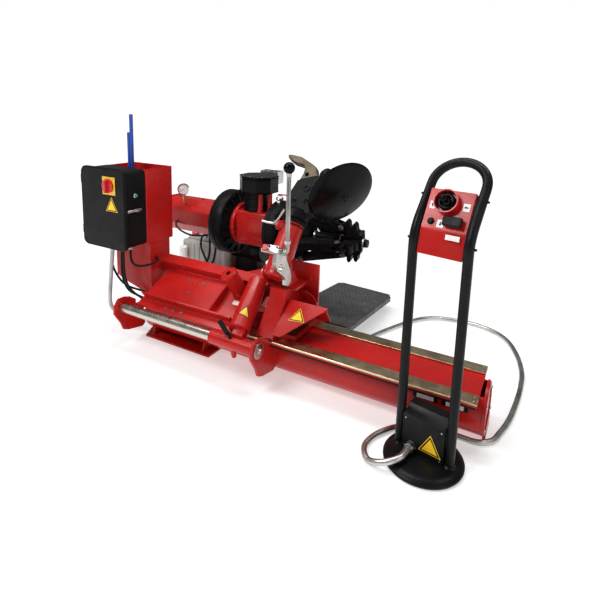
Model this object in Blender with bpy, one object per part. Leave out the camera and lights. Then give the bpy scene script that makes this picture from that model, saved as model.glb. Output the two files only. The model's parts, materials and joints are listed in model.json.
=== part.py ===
"""Truck tyre changer: a bed with a sliding tool carriage, a hinged chuck arm with its drive, an
electric cabinet on a column, an oil power unit, and a free-standing control stand on a hose.

Metres, +Z up. X runs along the bed to the right, Y runs to the back. While the machine is built,
X starts at the left end of the bed tube and Y at its axis. The last step moves everything so that
the origin is under the middle of the machine, on the floor.
"""
import math

import bmesh
import bpy
from mathutils import Matrix, Vector

GAP = 0.0004               # clearance between pieces that touch
HIDDEN = []                # cutters and join helpers

# ---------------------------------------------------------------- driving dimensions
BED_LENGTH = 1.785
BED_RADIUS = 0.108
BED_WALL = 0.008
BED_HEIGHT = 0.126         # axis of the bed tube above the floor
DECK_LEFT = 0.60
DECK_RIGHT = 1.77
DECK_HALF = 0.155
DECK_UNDER = 0.2045
DECK_THICK = 0.0075
RAIL_WIDTH = 0.067
RAIL_TOP = 0.221

BAR_Y = -0.25              # pivot bar of the chuck arm
BAR_Z = 0.218
BAR_RADIUS = 0.025
BAR_LEFT = -0.02
BAR_RIGHT = 0.858
ARM_SLOPE = math.radians(28)
PLATE_LEFT = 0.07
PLATE_RIGHT = 0.738
PLATE_LENGTH = 0.275

DRIVE_Y = 0.469            # axis of motor, gears and chuck
DRIVE_Z = 0.572
JAW_COUNT = 4
JAW_BASE_X = 0.672         # pivot of each jaw link on the chuck body
JAW_BASE_RADIUS = 0.160
JAW_TIP_X = 0.940          # pivot between a link and its claw
JAW_TIP_RADIUS = 0.084
JAW_FIRST = 12.0           # degrees, place of the first jaw round the axis

TOOL_X = 0.807             # foot of the tool arm, on its tilt axis
TOOL_Y = -0.031
TOOL_Z = 0.500
TOOL_LEAN = math.radians(37.7)
TOOL_LENGTH = 0.285
TOOL_RADIUS = 0.0565
DISC_PLACE = (1.029, 0.204, 0.884)
DISC_NORMAL = (0.749, -0.494, -0.439)
DISC_RADIUS = 0.177
LEVER_X = 0.884            # plane of the cast hook of the lock lever
LEVER_Y = -0.120           # its pivot
LEVER_Z = 0.640

CABINET_LEFT = -0.295
CABINET_FRONT = -0.246
CABINET_BOTTOM = 0.531
CABINET_WIDTH = 0.315
CABINET_HEIGHT = 0.415
CABINET_DEPTH = 0.150
DOOR_DEPTH = 0.030

STAND_X = 1.611
STAND_Y = -0.261
STAND_TURN = math.radians(-10.5)
STAND_RADIUS = 0.150
STAND_HALF = 0.100         # from the middle to each leg of the bent tube
STAND_TUBE = 0.0175
STAND_BEND = 0.874
STAND_SHOULDER = 1.034     # where the half circle of the tube begins
STAND_SET_BACK = 0.124     # how far the shoulder lies behind the legs
HOSE_DIAMETER = 0.025

# ---------------------------------------------------------------- materials
PAINT_RED = ("paint_red", (0.55, 0.012, 0.012), 0.32, 0.0)
PAINT_BLACK = ("paint_black", (0.012, 0.012, 0.014), 0.38, 0.0)
PLASTIC_BLACK = ("plastic_black", (0.010, 0.010, 0.011), 0.30, 0.0)
CAST_BLACK = ("cast_black", (0.015, 0.015, 0.016), 0.45, 0.3)
STEEL = ("steel", (0.55, 0.53, 0.50), 0.25, 1.0)
ZINC = ("zinc", (0.60, 0.60, 0.58), 0.35, 1.0)
BRONZE = ("bronze", (0.36, 0.30, 0.22), 0.40, 0.9)
BLUE = ("paint_blue", (0.02, 0.09, 0.42), 0.40, 0.0)
KNOB_RED = ("knob_red", (0.50, 0.01, 0.02), 0.30, 0.0)
TANK_GREY = ("tank_grey", (0.50, 0.50, 0.47), 0.45, 0.2)
CHEQUER = ("chequer_grey", (0.035, 0.037, 0.040), 0.50, 0.4)


def material(spec):
    """The shared material of that name, made on first use."""
    name, colour, roughness, metallic = spec
    found = bpy.data.materials.get(name)
    if found:
        return found
    made = bpy.data.materials.new(name)
    made.use_nodes = True
    shader = made.node_tree.nodes["Principled BSDF"]
    shader.inputs["Base Color"].default_value = (*colour, 1.0)
    shader.inputs["Roughness"].default_value = roughness
    shader.inputs["Metallic"].default_value = metallic
    made.diffuse_color = (*colour, 1.0)
    return made


# ---------------------------------------------------------------- frames
def frame(name, place, parent=None, turn=(0, 0, 0)):
    """An empty at a joint axis or a tilted seat; pieces hang from it."""
    made = bpy.data.objects.new(name, None)
    bpy.context.scene.collection.objects.link(made)
    made.location = place
    made.rotation_euler = turn
    made.parent = parent
    return made


# ---------------------------------------------------------------- shapes
def add(name, shape, spec, parent=None, smooth=35):
    """Turns a bmesh into a named object with one material."""
    bmesh.ops.recalc_face_normals(shape, faces=shape.faces)
    mesh = bpy.data.meshes.new(name)
    shape.to_mesh(mesh)
    shape.free()
    mesh.materials.append(material(spec))
    mesh.shade_smooth()
    mesh.set_sharp_from_angle(angle=math.radians(smooth))
    made = bpy.data.objects.new(name, mesh)
    bpy.context.scene.collection.objects.link(made)
    made.parent = parent
    return made


def move(shape, matrix):
    bmesh.ops.transform(shape, matrix=matrix, verts=shape.verts)
    return shape


def block(low, high, bevel=0.0, segments=1):
    """A box between two corners, with every edge bevelled."""
    shape = bmesh.new()
    size = [b - a for a, b in zip(low, high)]
    centre = [(a + b) / 2 for a, b in zip(low, high)]
    bmesh.ops.create_cube(shape, size=1.0)
    move(shape, Matrix.Translation(centre) @ Matrix.Diagonal((*size, 1.0)))
    if bevel:
        bmesh.ops.bevel(shape, geom=list(shape.edges), offset=bevel, segments=segments,
                        profile=0.5, affect="EDGES")
    return shape


def prism(outline, low, high, axis="Z"):
    """Extrudes a flat outline along an axis. The outline is (x, y), (y, z) or (x, z)."""
    put = {"Z": lambda a, b, h: (a, b, h), "X": lambda a, b, h: (h, a, b),
           "Y": lambda a, b, h: (a, h, b)}[axis]
    shape = bmesh.new()
    ring = [shape.verts.new(put(a, b, low)) for a, b in outline]
    face = shape.faces.new(ring)
    top = bmesh.ops.extrude_face_region(shape, geom=[face])["geom"]
    verts = [item for item in top if isinstance(item, bmesh.types.BMVert)]
    bmesh.ops.translate(shape, verts=verts, vec=Vector(put(0, 0, high - low)) - Vector(put(0, 0, 0)))
    return shape


def turned(profile, sides, axis="Z", start=0.0):
    """Spins (radius, height) points round an axis into a closed body."""
    shape = bmesh.new()
    rings = []
    for radius, height in profile:
        if radius < 1e-6:
            rings.append([shape.verts.new((0, 0, height))])
            continue
        angles = [start + 2 * math.pi * k / sides for k in range(sides)]
        rings.append([shape.verts.new((radius * math.cos(a), radius * math.sin(a), height))
                      for a in angles])
    closed = profile[0][0] > 1e-6 and profile[-1][0] > 1e-6
    pairs = list(zip(rings, rings[1:])) + ([(rings[-1], rings[0])] if closed else [])
    for one, two in pairs:
        for k in range(sides):
            j = (k + 1) % sides
            corners = [one[k % len(one)], one[j % len(one)], two[j % len(two)], two[k % len(two)]]
            shape.faces.new(list(dict.fromkeys(corners)))
    if axis == "X":
        move(shape, Matrix.Rotation(math.pi / 2, 4, "Y"))
    if axis == "Y":
        move(shape, Matrix.Rotation(-math.pi / 2, 4, "X"))
    return shape


def rod(start, end, radius, sides=20, bore=0.0, twist=0.0):
    """A round bar, or a pipe when it has a bore, between two points."""
    start, end = Vector(start), Vector(end)
    length = (end - start).length
    if bore:
        profile = [(radius, 0), (radius, length), (bore, length), (bore, 0)]
    else:
        profile = [(0, 0), (radius, 0), (radius, length), (0, length)]
    shape = turned(profile, sides, start=twist)
    turn = (end - start).to_track_quat("Z", "Y").to_matrix().to_4x4()
    return move(shape, Matrix.Translation(start) @ turn)


def sweep(points, radius, sides=16):
    """A round bar that follows a route of points, with flat ends."""
    points = [Vector(p) for p in points]
    shape = bmesh.new()
    tangents = []
    for k in range(len(points)):
        before = points[max(k - 1, 0)]
        after = points[min(k + 1, len(points) - 1)]
        tangents.append((after - before).normalized())
    across = tangents[0].orthogonal().normalized()
    rings = []
    for place, tangent in zip(points, tangents):
        across = (across - tangent * across.dot(tangent)).normalized()
        up = tangent.cross(across)
        ring = []
        for k in range(sides):
            angle = 2 * math.pi * k / sides
            ring.append(shape.verts.new(place + radius * (math.cos(angle) * across + math.sin(angle) * up)))
        rings.append(ring)
    for one, two in zip(rings, rings[1:]):
        for k in range(sides):
            j = (k + 1) % sides
            shape.faces.new([one[k], one[j], two[j], two[k]])
    shape.faces.new(rings[0])
    shape.faces.new(rings[-1])
    return shape


def ball(centre, radius, sides=24):
    shape = bmesh.new()
    bmesh.ops.create_uvsphere(shape, u_segments=sides, v_segments=sides // 2, radius=radius)
    return move(shape, Matrix.Translation(centre))


def helper(target, shape, operation):
    """Hidden object that a Boolean on the target joins or cuts with."""
    made = add(f"{target.name}_{operation.lower()}_{len(HIDDEN)}", shape, STEEL, target.parent)
    made.hide_render = True
    made.display_type = "WIRE"
    HIDDEN.append(made)
    boolean = target.modifiers.new(operation.title(), "BOOLEAN")
    boolean.operation = operation
    boolean.solver = "EXACT"
    boolean.object = made
    return target


def join(target, *shapes):
    for shape in shapes:
        helper(target, shape, "UNION")
    return target


def cut(target, *shapes):
    for shape in shapes:
        helper(target, shape, "DIFFERENCE")
    return target


def arc(centre, radius, start, end, steps):
    """Points of a round stretch of an outline, angles in degrees."""
    angles = [math.radians(start + (end - start) * k / steps) for k in range(steps + 1)]
    return [(centre[0] + radius * math.cos(a), centre[1] + radius * math.sin(a)) for a in angles]


def rounded_outline(low, high, radius, steps=5):
    """A rectangle with round corners."""
    right, top = high[0] - radius, high[1] - radius
    left, bottom = low[0] + radius, low[1] + radius
    return (arc((right, top), radius, 0, 90, steps) + arc((left, top), radius, 90, 180, steps)
            + arc((left, bottom), radius, 180, 270, steps) + arc((right, bottom), radius, 270, 360, steps))


def smooth_route(points, spacing):
    """Evenly spaced points of a Catmull-Rom curve through the route's own points."""
    points = [Vector(p) for p in points]
    ends = [2 * points[0] - points[1]] + points + [2 * points[-1] - points[-2]]
    fine = []
    for a, b, c, d in zip(ends, ends[1:], ends[2:], ends[3:]):
        for k in range(24):
            t = k / 24
            fine.append(0.5 * (2 * b + (c - a) * t + (2 * a - 5 * b + 4 * c - d) * t * t
                               + (3 * b - a - 3 * c + d) * t ** 3))
    fine.append(points[-1])
    length = sum((b - a).length for a, b in zip(fine, fine[1:]))
    count = max(2, round(length / spacing))
    step, walked, found = length / count, 0.0, [fine[0]]
    for a, b in zip(fine, fine[1:]):
        reach = (b - a).length
        while walked + reach >= step * len(found) and len(found) < count:
            found.append(a.lerp(b, (step * len(found) - walked) / reach))
        walked += reach
    return found + [fine[-1]]


def cord(name, points, diameter, spec, parent, spacing=None):
    """A hose or cable: a POLY curve with a round bevel and filled ends."""
    route = smooth_route(points, spacing or 2.6 * diameter)
    curve = bpy.data.curves.new(name, "CURVE")
    curve.dimensions = "3D"
    curve.bevel_depth = diameter / 2
    curve.bevel_resolution = 2
    curve.use_fill_caps = True
    spline = curve.splines.new("POLY")
    spline.points.add(len(route) - 1)
    for point, place in zip(spline.points, route):
        point.co = (*place, 1.0)
    curve.materials.append(material(spec))
    made = bpy.data.objects.new(name, curve)
    bpy.context.scene.collection.objects.link(made)
    made.parent = parent
    return made


# ---------------------------------------------------------------- bed and base
def bed(base):
    """Bed tube with a flat crown for the deck, deck, rails, end plate and the feed cylinder."""
    axis = (0, BED_HEIGHT)
    tube = add("bed_tube", rod((0, *axis), (BED_LENGTH, *axis), BED_RADIUS, 40,
                               BED_RADIUS - BED_WALL), PAINT_RED, base)
    cut(tube, block((DECK_LEFT - 0.01, -0.2, DECK_UNDER - GAP), (BED_LENGTH + 0.02, 0.2, 0.30)))
    slot_low, slot_high = BED_HEIGHT - 0.015, BED_HEIGHT + 0.015
    cut(tube, block((0.62, 0.05, slot_low), (1.30, 0.2, slot_high)))

    add("bed_deck", block((DECK_LEFT, -DECK_HALF, DECK_UNDER),
                          (DECK_RIGHT, DECK_HALF, DECK_UNDER + DECK_THICK)), PAINT_RED, base)
    for name, side in (("front_rail", -1), ("rear_rail", 1)):
        outer = side * (DECK_HALF + 0.002)
        inner = side * (DECK_HALF + 0.002 - RAIL_WIDTH)
        low = DECK_UNDER + DECK_THICK + GAP
        add(name, block((DECK_LEFT, min(outer, inner), low), (DECK_RIGHT, max(outer, inner), RAIL_TOP),
                        0.0015), STEEL, base)

    plate = rod((BED_LENGTH + GAP, *axis), (BED_LENGTH + 0.010, *axis), BED_RADIUS + 0.001, 40)
    end = add("bed_end_plate", plate, PAINT_RED, base)
    foot = [(-0.03, 0), (0.085, 0), (0.085, 0.060), (0.045, 0.075), (-0.03, 0.06)]
    join(end, prism(foot, BED_LENGTH + 0.004, BED_LENGTH + 0.016, "X"))


def left_foot(base):
    """Floor plate under the left end with two upright gussets that cradle the tube."""
    outline = [(0.015, -0.116), (0.461, -0.116), (0.461, 0.19), (-0.03, 0.19), (-0.03, -0.02)]
    foot = add("left_foot", prism(outline, 0, 0.010), PAINT_RED, base)
    bore = rod((-0.1, 0, BED_HEIGHT), (0.6, 0, BED_HEIGHT), BED_RADIUS + GAP, 40)
    rib = [(-0.10, 0.005), (0.094, 0.005), (0.08, 0.07), (-0.075, 0.07)]
    for x in (0.045, 0.40):
        join(foot, prism(rib, x, x + 0.012, "X"))
    cut(foot, bore)


def rear_frame(base):
    """Two cross beams behind the bed with the platform of the power unit."""
    whole = add("rear_frame", block((0.02, 0.155, 0.012), (0.10, 0.96, 0.092)), PAINT_RED, base)
    join(whole, block((0.30, 0.155, 0.012), (0.38, 0.96, 0.092)))
    join(whole, block((-0.47, 0.68, 0.086), (0.38, 0.96, 0.100)))
    join(whole, block((-0.46, 0.92, 0.0), (-0.40, 0.955, 0.09)))
    join(whole, block((0.025, 0.92, 0.0), (0.095, 0.955, 0.05)))
    join(whole, block((0.305, 0.92, 0.0), (0.375, 0.955, 0.05)))
    join(whole, block((0.02, 0.100, 0.013), (0.38, 0.165, 0.05)))
    cut(whole, rod((-0.1, 0, BED_HEIGHT), (0.6, 0, BED_HEIGHT), BED_RADIUS + GAP, 40))


def bar_bracket(name, x, thick, base):
    """Side plate that reaches forward from the bed tube to the pivot bar."""
    outline = [(-0.300, 0.235), (-0.275, 0.270), (-0.235, 0.270), (-0.195, 0.258), (-0.1585, 0.232),
               (-0.1585, 0.2035), (-0.09, 0.2035), (-0.06, 0.10), (-0.115, 0.055), (-0.215, 0.075),
               (-0.247, 0.090), (-0.262, 0.130), (-0.303, 0.195)]
    plate = add(name, prism(outline, x, x + thick, "X"), PAINT_RED, base)
    cut(plate, rod((x - 0.1, BAR_Y, BAR_Z), (x + 0.1, BAR_Y, BAR_Z), BAR_RADIUS + GAP, 28))
    cut(plate, rod((x - 0.1, 0, BED_HEIGHT), (x + 0.1, 0, BED_HEIGHT), BED_RADIUS + GAP, 40))


def column(base):
    """Wide bracket under the cabinet, standing on the left end of the bed tube."""
    outline = [(-0.255, 0.300), (-0.190, 0.275), (-0.02, 0.232), (0.02, 0.238), (0.02, 0.5295),
               (-0.255, 0.5295)]
    made = add("cabinet_column", prism(outline, -0.070, 0.076, "Y"), PAINT_RED, base)
    join(made, block((-0.02, -0.045, 0.15), (0.02, 0.045, 0.26)))
    cut(made, block((-0.249, -0.064, 0.20), (0.0135, 0.070, 0.5235)))
    join(made, block((0.0, -0.03, 0.20), (0.06, 0.03, 0.245)))
    cut(made, rod((-0.1, 0, BED_HEIGHT), (0.6, 0, BED_HEIGHT), BED_RADIUS + GAP, 40))


def cabinet(base):
    """Black electric cabinet with a hinged door, its latch and the mains isolator knob."""
    right = CABINET_LEFT + CABINET_WIDTH
    top = CABINET_BOTTOM + CABINET_HEIGHT
    split = CABINET_FRONT + DOOR_DEPTH
    back = CABINET_FRONT + CABINET_DEPTH
    shell = rounded_outline((CABINET_LEFT, CABINET_BOTTOM), (right, top), 0.026)
    body = add("cabinet_body", prism(shell, split + GAP, back, "Y"), PLASTIC_BLACK, base)
    cut(body, block((CABINET_LEFT + 0.012, split - 0.05, CABINET_BOTTOM + 0.012),
                    (right - 0.012, back - 0.012, top - 0.012)))
    hinge = frame("door_hinge", (CABINET_LEFT, CABINET_FRONT + 0.010, CABINET_BOTTOM), base)
    lip = 0.010
    size = (CABINET_WIDTH, CABINET_HEIGHT)
    inner = rounded_outline((0.0005, 0.0), size, 0.026)
    middle = rounded_outline((-lip, -lip), (size[0] + lip, size[1] + lip), 0.036)
    outer = rounded_outline((-lip + 0.005, -lip + 0.005), (size[0] + lip - 0.005, size[1] + lip - 0.005),
                            0.031)
    door = add("cabinet_door", prism(middle, -0.005, 0.008, "Y"), PLASTIC_BLACK, hinge)
    join(door, prism(inner, 0.004, DOOR_DEPTH - 0.010, "Y"))
    join(door, prism(outer, -0.010, -0.003, "Y"))
    knob_x, knob_z = 0.211, 0.333
    knob = frame("isolator_axis", (knob_x, -0.0104, knob_z), hinge)
    dial = add("isolator_knob", turned([(0, 0.0), (0.038, 0), (0.038, 0.012), (0, 0.012)], 28, "Y"),
               KNOB_RED, knob)
    dial.location = (0, -0.0124, 0)
    join(dial, block((-0.008, -0.0300, -0.034), (0.008, -0.008, 0.034), 0.002))
    latch = frame("latch_axis", (right + GAP, split + 0.050, CABINET_BOTTOM + 0.205), base)
    handle = add("cabinet_latch", block((0.0066, -0.062, -0.007), (0.0146, 0.030, 0.007), 0.002), ZINC,
                 latch)
    join(handle, rod((0, 0, 0), (0.018, 0, 0), 0.010, 16))


def tool_bin(base):
    """Open red bin behind the cabinet, with two tyre levers standing in its sockets."""
    left, right, front, back = -0.275, 0.025, -0.0955, 0.100
    low, high = 0.530, 0.942
    made = add("tool_bin", block((left, front, low), (right, back, high), 0.003), PAINT_RED, base)
    cut(made, block((left + 0.004, front + 0.004, high - 0.15), (right - 0.004, back - 0.004, high + 0.05)))
    cut(made, block((left + 0.004, front + 0.004, low - 0.05), (right - 0.004, back - 0.004, high - 0.154)))
    foot = high - 0.1496
    for name, x, length in (("tyre_lever_long", -0.178, 0.436), ("tyre_lever_short", -0.1985, 0.334)):
        bar = block((x - 0.010, -0.010, foot), (x + 0.010, 0.006, foot + length), 0.003)
        add(name, bar, BLUE, base)


def power_unit(base):
    """Oil tank and the electric motor of its pump, on the rear frame."""
    tank = add("oil_tank", block((-0.46, 0.700, 0.1004), (-0.065, 0.92, 0.295), 0.015, 2), TANK_GREY, base)
    join(tank, block((-0.43, 0.730, 0.285), (-0.12, 0.90, 0.325), 0.012, 2))
    motor = add("pump_motor", rod((-0.0646, 0.85, 0.29), (0.19, 0.85, 0.29), 0.095, 24), CAST_BLACK, base)
    join(motor, block((-0.03, 0.79, 0.1004), (0.15, 0.91, 0.25)))


def chuck_arm(machine):
    """Welded arm: sloping plate with ribs, hinge sleeve, brace tube, beam and rear boom."""
    arm = frame("chuck_arm", (0, BAR_Y, BAR_Z), machine)
    slope = frame("arm_slope", (0, 0, 0), arm, (ARM_SLOPE, 0, 0))
    start, end = 0.036, 0.036 + PLATE_LENGTH
    plate = add("arm_plate", block((PLATE_LEFT, start, 0.0), (PLATE_RIGHT, end, 0.012)), PAINT_RED, slope)
    rib = [(0.10, 0.010), (0.66, 0.010), (0.66, 0.052), (0.115, 0.052), (0.075, 0.045)]
    join(plate, prism(rib, 0.085, 0.095, "Y"))
    join(plate, block((0.515, 0.090, 0.008), (0.525, end, 0.050)))

    sleeve = add("arm_sleeve", rod((0.595, 0, 0), (0.838, 0, 0), 0.033, 28), PAINT_RED, slope)
    join(sleeve, block((0.60, 0.0, -0.012), (0.73, start - GAP, 0.012)))
    join(sleeve, rod((0.70, 0, -0.02), (0.70, -0.012, -0.095), 0.012, 16))
    join(sleeve, block((0.715, 0.016, 0.0126), (0.772, 0.060, 0.050)))
    join(sleeve, rod((0.733, 0.046, 0.036), (0.679, 0.325, 0.050), 0.050, 36))
    cut(sleeve, block((0.6, start - GAP, -0.1), (0.8, 0.4, 0.012 + GAP)))
    cut(sleeve, block((0.6, end - 0.001, -0.1), (0.8, end + 0.2, 0.058 + GAP)))
    cut(sleeve, rod((0.5, 0, 0), (0.9, 0, 0), BAR_RADIUS + GAP, 28))

    beam = [(end + GAP, -0.03), (end + 0.060, -0.03), (end + 0.060, 0.058), (end + GAP, 0.058)]
    inner = [(end + 0.007, -0.024), (end + 0.08, -0.024), (end + 0.08, 0.051), (end + 0.007, 0.051)]
    made = add("arm_beam", prism(beam, 0.030, PLATE_RIGHT, "X"), PAINT_RED, slope)
    cut(made, prism(inner, 0.0, 0.50, "X"))
    boom = [(0.275, 0.110), (0.36, 0.185), (0.55, 0.150), (0.86, 0.150), (0.86, 0.070), (0.55, 0.060),
            (0.37, 0.085)]
    carrier = add("arm_boom", prism([(y, z) for y, z in boom], 0.508, 0.600, "X"), PAINT_RED, arm)
    cut(carrier, block_in_slope(end + 0.061))
    join(carrier, prism([(0.79, 0.10), (0.86, 0.10), (0.86, 0.42), (0.80, 0.42)], 0.508, 0.600, "X"))
    bearing_y, bearing_z = DRIVE_Y - BAR_Y, DRIVE_Z - BAR_Z
    cut(carrier, rod((0.3, bearing_y, bearing_z), (0.9, bearing_y, bearing_z), 0.172 + GAP, 40))
    return arm, slope, plate


def block_in_slope(reach):
    """Cutter that squares the boom's front end to the sloping beam."""
    shape = block((0.0, -0.3, -0.4), (1.0, reach, 0.3))
    return move(shape, Matrix.Rotation(ARM_SLOPE, 4, "X"))


def lift(slope, plate):
    """Lift cylinder through the arm plate and its rod, whose foot bears on the bed."""
    seat = frame("lift_axis", (0.600, 0.266, 0), slope, (0, math.radians(-13.6), 0))
    turn = Matrix.Rotation(math.radians(-13.6), 4, "Y")
    hole = move(rod((0, 0, -0.2), (0, 0, 0.2), 0.040 + GAP, 28), turn)
    cut(plate, move(hole, Matrix.Translation((0.600, 0.266, 0))))
    barrel = turned([(0, 0.150), (0.037, 0.150), (0.040, 0.146), (0.040, -0.030), (0.0205, -0.030),
                     (0.0205, 0.130), (0, 0.130)], 28)
    add("lift_cylinder", barrel, PAINT_RED, seat)
    shaft = turned([(0, 0.055), (0.020, 0.055), (0.020, -0.098), (0.030, -0.098), (0.030, -0.112),
                    (0.022, -0.117), (0, -0.117)], 24)
    add("lift_rod", shaft, STEEL, seat)


def lock_handle(slope):
    """Screw through the sleeve with a black handle."""
    seat = frame("sleeve_lock_axis", (0.712, 0.0, 0.0336), slope)
    screw = add("sleeve_lock", rod((0, 0, 0.0), (0, 0, 0.028), 0.008, 16), ZINC, seat)
    join(screw, rod((-0.004, 0.000, 0.026), (-0.060, 0.032, 0.058), 0.0115, 16))


def drive(arm):
    """Motor cover, gear housing, gearbox, spindle bearing and the motor box, all on the arm."""
    head = frame("drive_axis", (0, DRIVE_Y - BAR_Y, DRIVE_Z - BAR_Z), arm)
    add("motor_cover", turned([(0, -0.33), (0.107, -0.33), (0.117, -0.318), (0.117, 0.1296),
                               (0, 0.1296)], 8, "X", math.pi / 8), PAINT_RED, head)
    housing = [(0, 0.130), (0.186, 0.130), (0.200, 0.142), (0.200, 0.222), (0.190, 0.232),
               (0.178, 0.226), (0.135, 0.2496), (0, 0.2496)]
    add("gear_housing", turned(housing, 40, "X"), CAST_BLACK, head)
    box = add("gearbox", rod((0.250, 0, 0), (0.276, 0, 0), 0.130, 36), PAINT_RED, head)
    join(box, block((0.274, -0.105, -0.103), (0.5036, 0.105, 0.103), 0.006))
    bearing = [(0, 0.504), (0.172, 0.504), (0.172, 0.575), (0.155, 0.590), (0.075, 0.590), (0.075, 0.605),
               (0, 0.605)]
    ring = add("spindle_bearing", turned(bearing, 40, "X"), CAST_BLACK, head)
    join(ring, rod((0.54, -0.03, 0.160), (0.54, -0.03, 0.212), 0.015, 16))
    drum = turned([(0, 0.216), (0.116, 0.216), (0.118, 0.219), (0.118, 0.302), (0.112, 0.310), (0, 0.310)],
                  8, "Z",
                  math.pi / 8)
    neck = add("motor_box", move(drum, Matrix.Translation((0.393, -0.030, 0))), PLASTIC_BLACK, head)
    join(neck, rod((0.375, -0.027, 0.1034), (0.375, -0.027, 0.22), 0.074, 32))
    stem = frame("valve_axis", (0.54, -0.03, 0.2124), head)
    add("valve_lever", block((-0.009, -0.009, 0.0), (0.062, 0.009, 0.005)), KNOB_RED, stem)
    return head


def chuck(head):
    """Turning chuck: body, central rod and jaws that open together on their links."""
    spin = frame("chuck_axis", (0, 0, 0), head)
    start = 0.6054
    body = [(0, start), (0.140, start), (0.150, start + 0.012), (0.150, start + 0.026),
            (0.095, start + 0.060),
            (0.095, start + 0.110), (0.060, start + 0.145), (0.0, start + 0.145)]
    whole = add("chuck_body", turned(body, 36, "X"), CAST_BLACK, spin)
    join(whole, rod((start + 0.13, 0, 0), (1.085, 0, 0), 0.0225, 24))
    rise = JAW_TIP_RADIUS - JAW_BASE_RADIUS
    run = JAW_TIP_X - JAW_BASE_X
    slant = math.atan2(rise, run)
    length = math.hypot(rise, run)
    for k in range(JAW_COUNT):
        turn = math.radians(JAW_FIRST + 360.0 * k / JAW_COUNT)
        sector = frame(f"jaw_{k + 1}_sector", (0, 0, 0), spin, (turn, 0, 0))
        ear = [(start + 0.008, 0.06), (start + 0.008, JAW_BASE_RADIUS - 0.020),
               (JAW_BASE_X - 0.012, JAW_BASE_RADIUS + 0.018), (JAW_BASE_X + 0.014, JAW_BASE_RADIUS + 0.016),
               (JAW_BASE_X + 0.022, JAW_BASE_RADIUS - 0.012), (JAW_BASE_X + 0.012, 0.06)]
        for side in (-1, 1):
            cheek = prism(ear, min(side * 0.024, side * 0.033), max(side * 0.024, side * 0.033), "Y")
            join(whole, move(cheek, Matrix.Rotation(turn, 4, "X")))
        hinge = frame(f"jaw_{k + 1}_link_pivot", (JAW_BASE_X, 0, JAW_BASE_RADIUS), sector)
        lever = frame(f"jaw_{k + 1}_link_slant", (0, 0, 0), hinge, (0, -slant, 0))
        inner = [(0.050, -0.021), (0.105, -0.054), (length - 0.040, -0.050)]
        outline = arc((0, 0), 0.021, 90, 270, 6) + inner + arc((length, 0), 0.019, -90, 90, 6)
        link = add(f"jaw_{k + 1}_link", prism(outline, -0.0236, 0.0236, "Y"), CAST_BLACK, lever)
        cut(link, block((length - 0.030, -0.0126, -0.1), (length + 0.1, 0.0126, 0.1)))
        tip = frame(f"jaw_{k + 1}_claw_pivot", (JAW_TIP_X, 0, JAW_TIP_RADIUS), sector)
        claw(f"jaw_{k + 1}_claw", tip)
    return spin


def claw(name, tip):
    """Two-fingered claw of one jaw, about its pivot; radius is up, the chuck's front is +X."""
    root = [(-0.020, -0.014), (-0.014, 0.014), (0.004, 0.018), (0.030, 0.014), (0.052, 0.004),
            (0.052, -0.050),
            (0.024, -0.050), (0.022, -0.024)]
    made = add(name, prism(root, -0.0122, 0.0122, "Y"), CAST_BLACK, tip)
    fingers = [(0.024, -0.050), (0.098, -0.050), (0.108, -0.036), (0.104, -0.018), (0.092, -0.012),
               (0.089, 0.020),
               (0.082, 0.031), (0.072, 0.031), (0.066, 0.022), (0.062, -0.010), (0.051, -0.012), (0.048,
                                                                                                  0.030),
               (0.040, 0.042), (0.029, 0.042), (0.024, 0.030)]
    join(made, prism(fingers, -0.0200, 0.0200, "Y"))


def carriage(machine):
    """Sliding carriage on the rails, its guard plate and the wheel ramp behind."""
    slide = frame("carriage", (0, 0, 0), machine)
    low = RAIL_TOP + GAP
    side = [(-0.157, low), (-0.157, 0.236), (-0.050, 0.384), (-0.038, 0.430), (0.14, 0.430), (0.165, 0.30),
            (0.165, low)]
    body = add("carriage_frame", prism(side, 0.785, 0.872, "X"), PAINT_RED, slide)
    join(body, block((0.870, -0.100, low), (0.960, 0.165, 0.245)))
    join(body, block((0.785, 0.1576, 0.196), (0.960, 0.176, 0.243)))
    join(body, block((0.7415, 0.010, 0.420), (0.90, 0.152, 0.432)))
    join(body, block((0.80, 0.140, 0.30), (0.955, 0.152, 0.520)))
    cheek = [(0.012, 0.424), (-0.036, 0.462), (-0.052, 0.500), (-0.040, 0.528), (-0.012, 0.532),
             (0.040, 0.500),
             (0.090, 0.424)]
    join(body, prism(cheek, 0.7415, 0.7495, "X"))
    join(body, prism(cheek, 0.8645, 0.8725, "X"))
    ear = [(0.86, 0.243), (0.86, 0.394), (0.901, 0.389), (0.945, 0.372), (0.970, 0.341), (0.972, 0.290),
           (0.940, 0.243)]
    join(body, prism(ear, 0.095, 0.107, "Y"))
    cut(body, rod((0.900, 0.05, 0.352), (0.900, 0.13, 0.352), 0.014, 16))
    join(body, block((0.880, 0.170, 0.148), (0.955, 0.2362, 0.243)))

    tilt = math.radians(34.4)
    guard = frame("guard_slope", (0, -0.161, 0.2515), slide, (tilt, 0, 0))
    outline = [(0.877, 0), (0.918, 0), (1.070, 0.180), (1.082, 0.200), (0.877, 0.200)]
    plate = add("carriage_guard", prism(outline, 0.0124, 0.0184), PAINT_RED, guard)
    join(plate, prism([(0.89, 0.19), (1.07, 0.19), (1.07, 0.197), (0.89, 0.197)], -0.09, 0.015))

    ramp_tilt = math.radians(-6.6)
    deck = frame("ramp_slope", (0, 0.240, 0.180), slide, (ramp_tilt, 0, 0))
    outline = [(0.700, 0.06), (0.76, 0.0), (1.075, 0.0), (1.091, 0.015), (1.091, 0.70), (1.06, 0.76),
               (0.72, 0.80),
               (0.690, 0.77)]
    add("wheel_ramp", prism(outline, -0.028, 0.0), CHEQUER, deck)
    return slide


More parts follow.
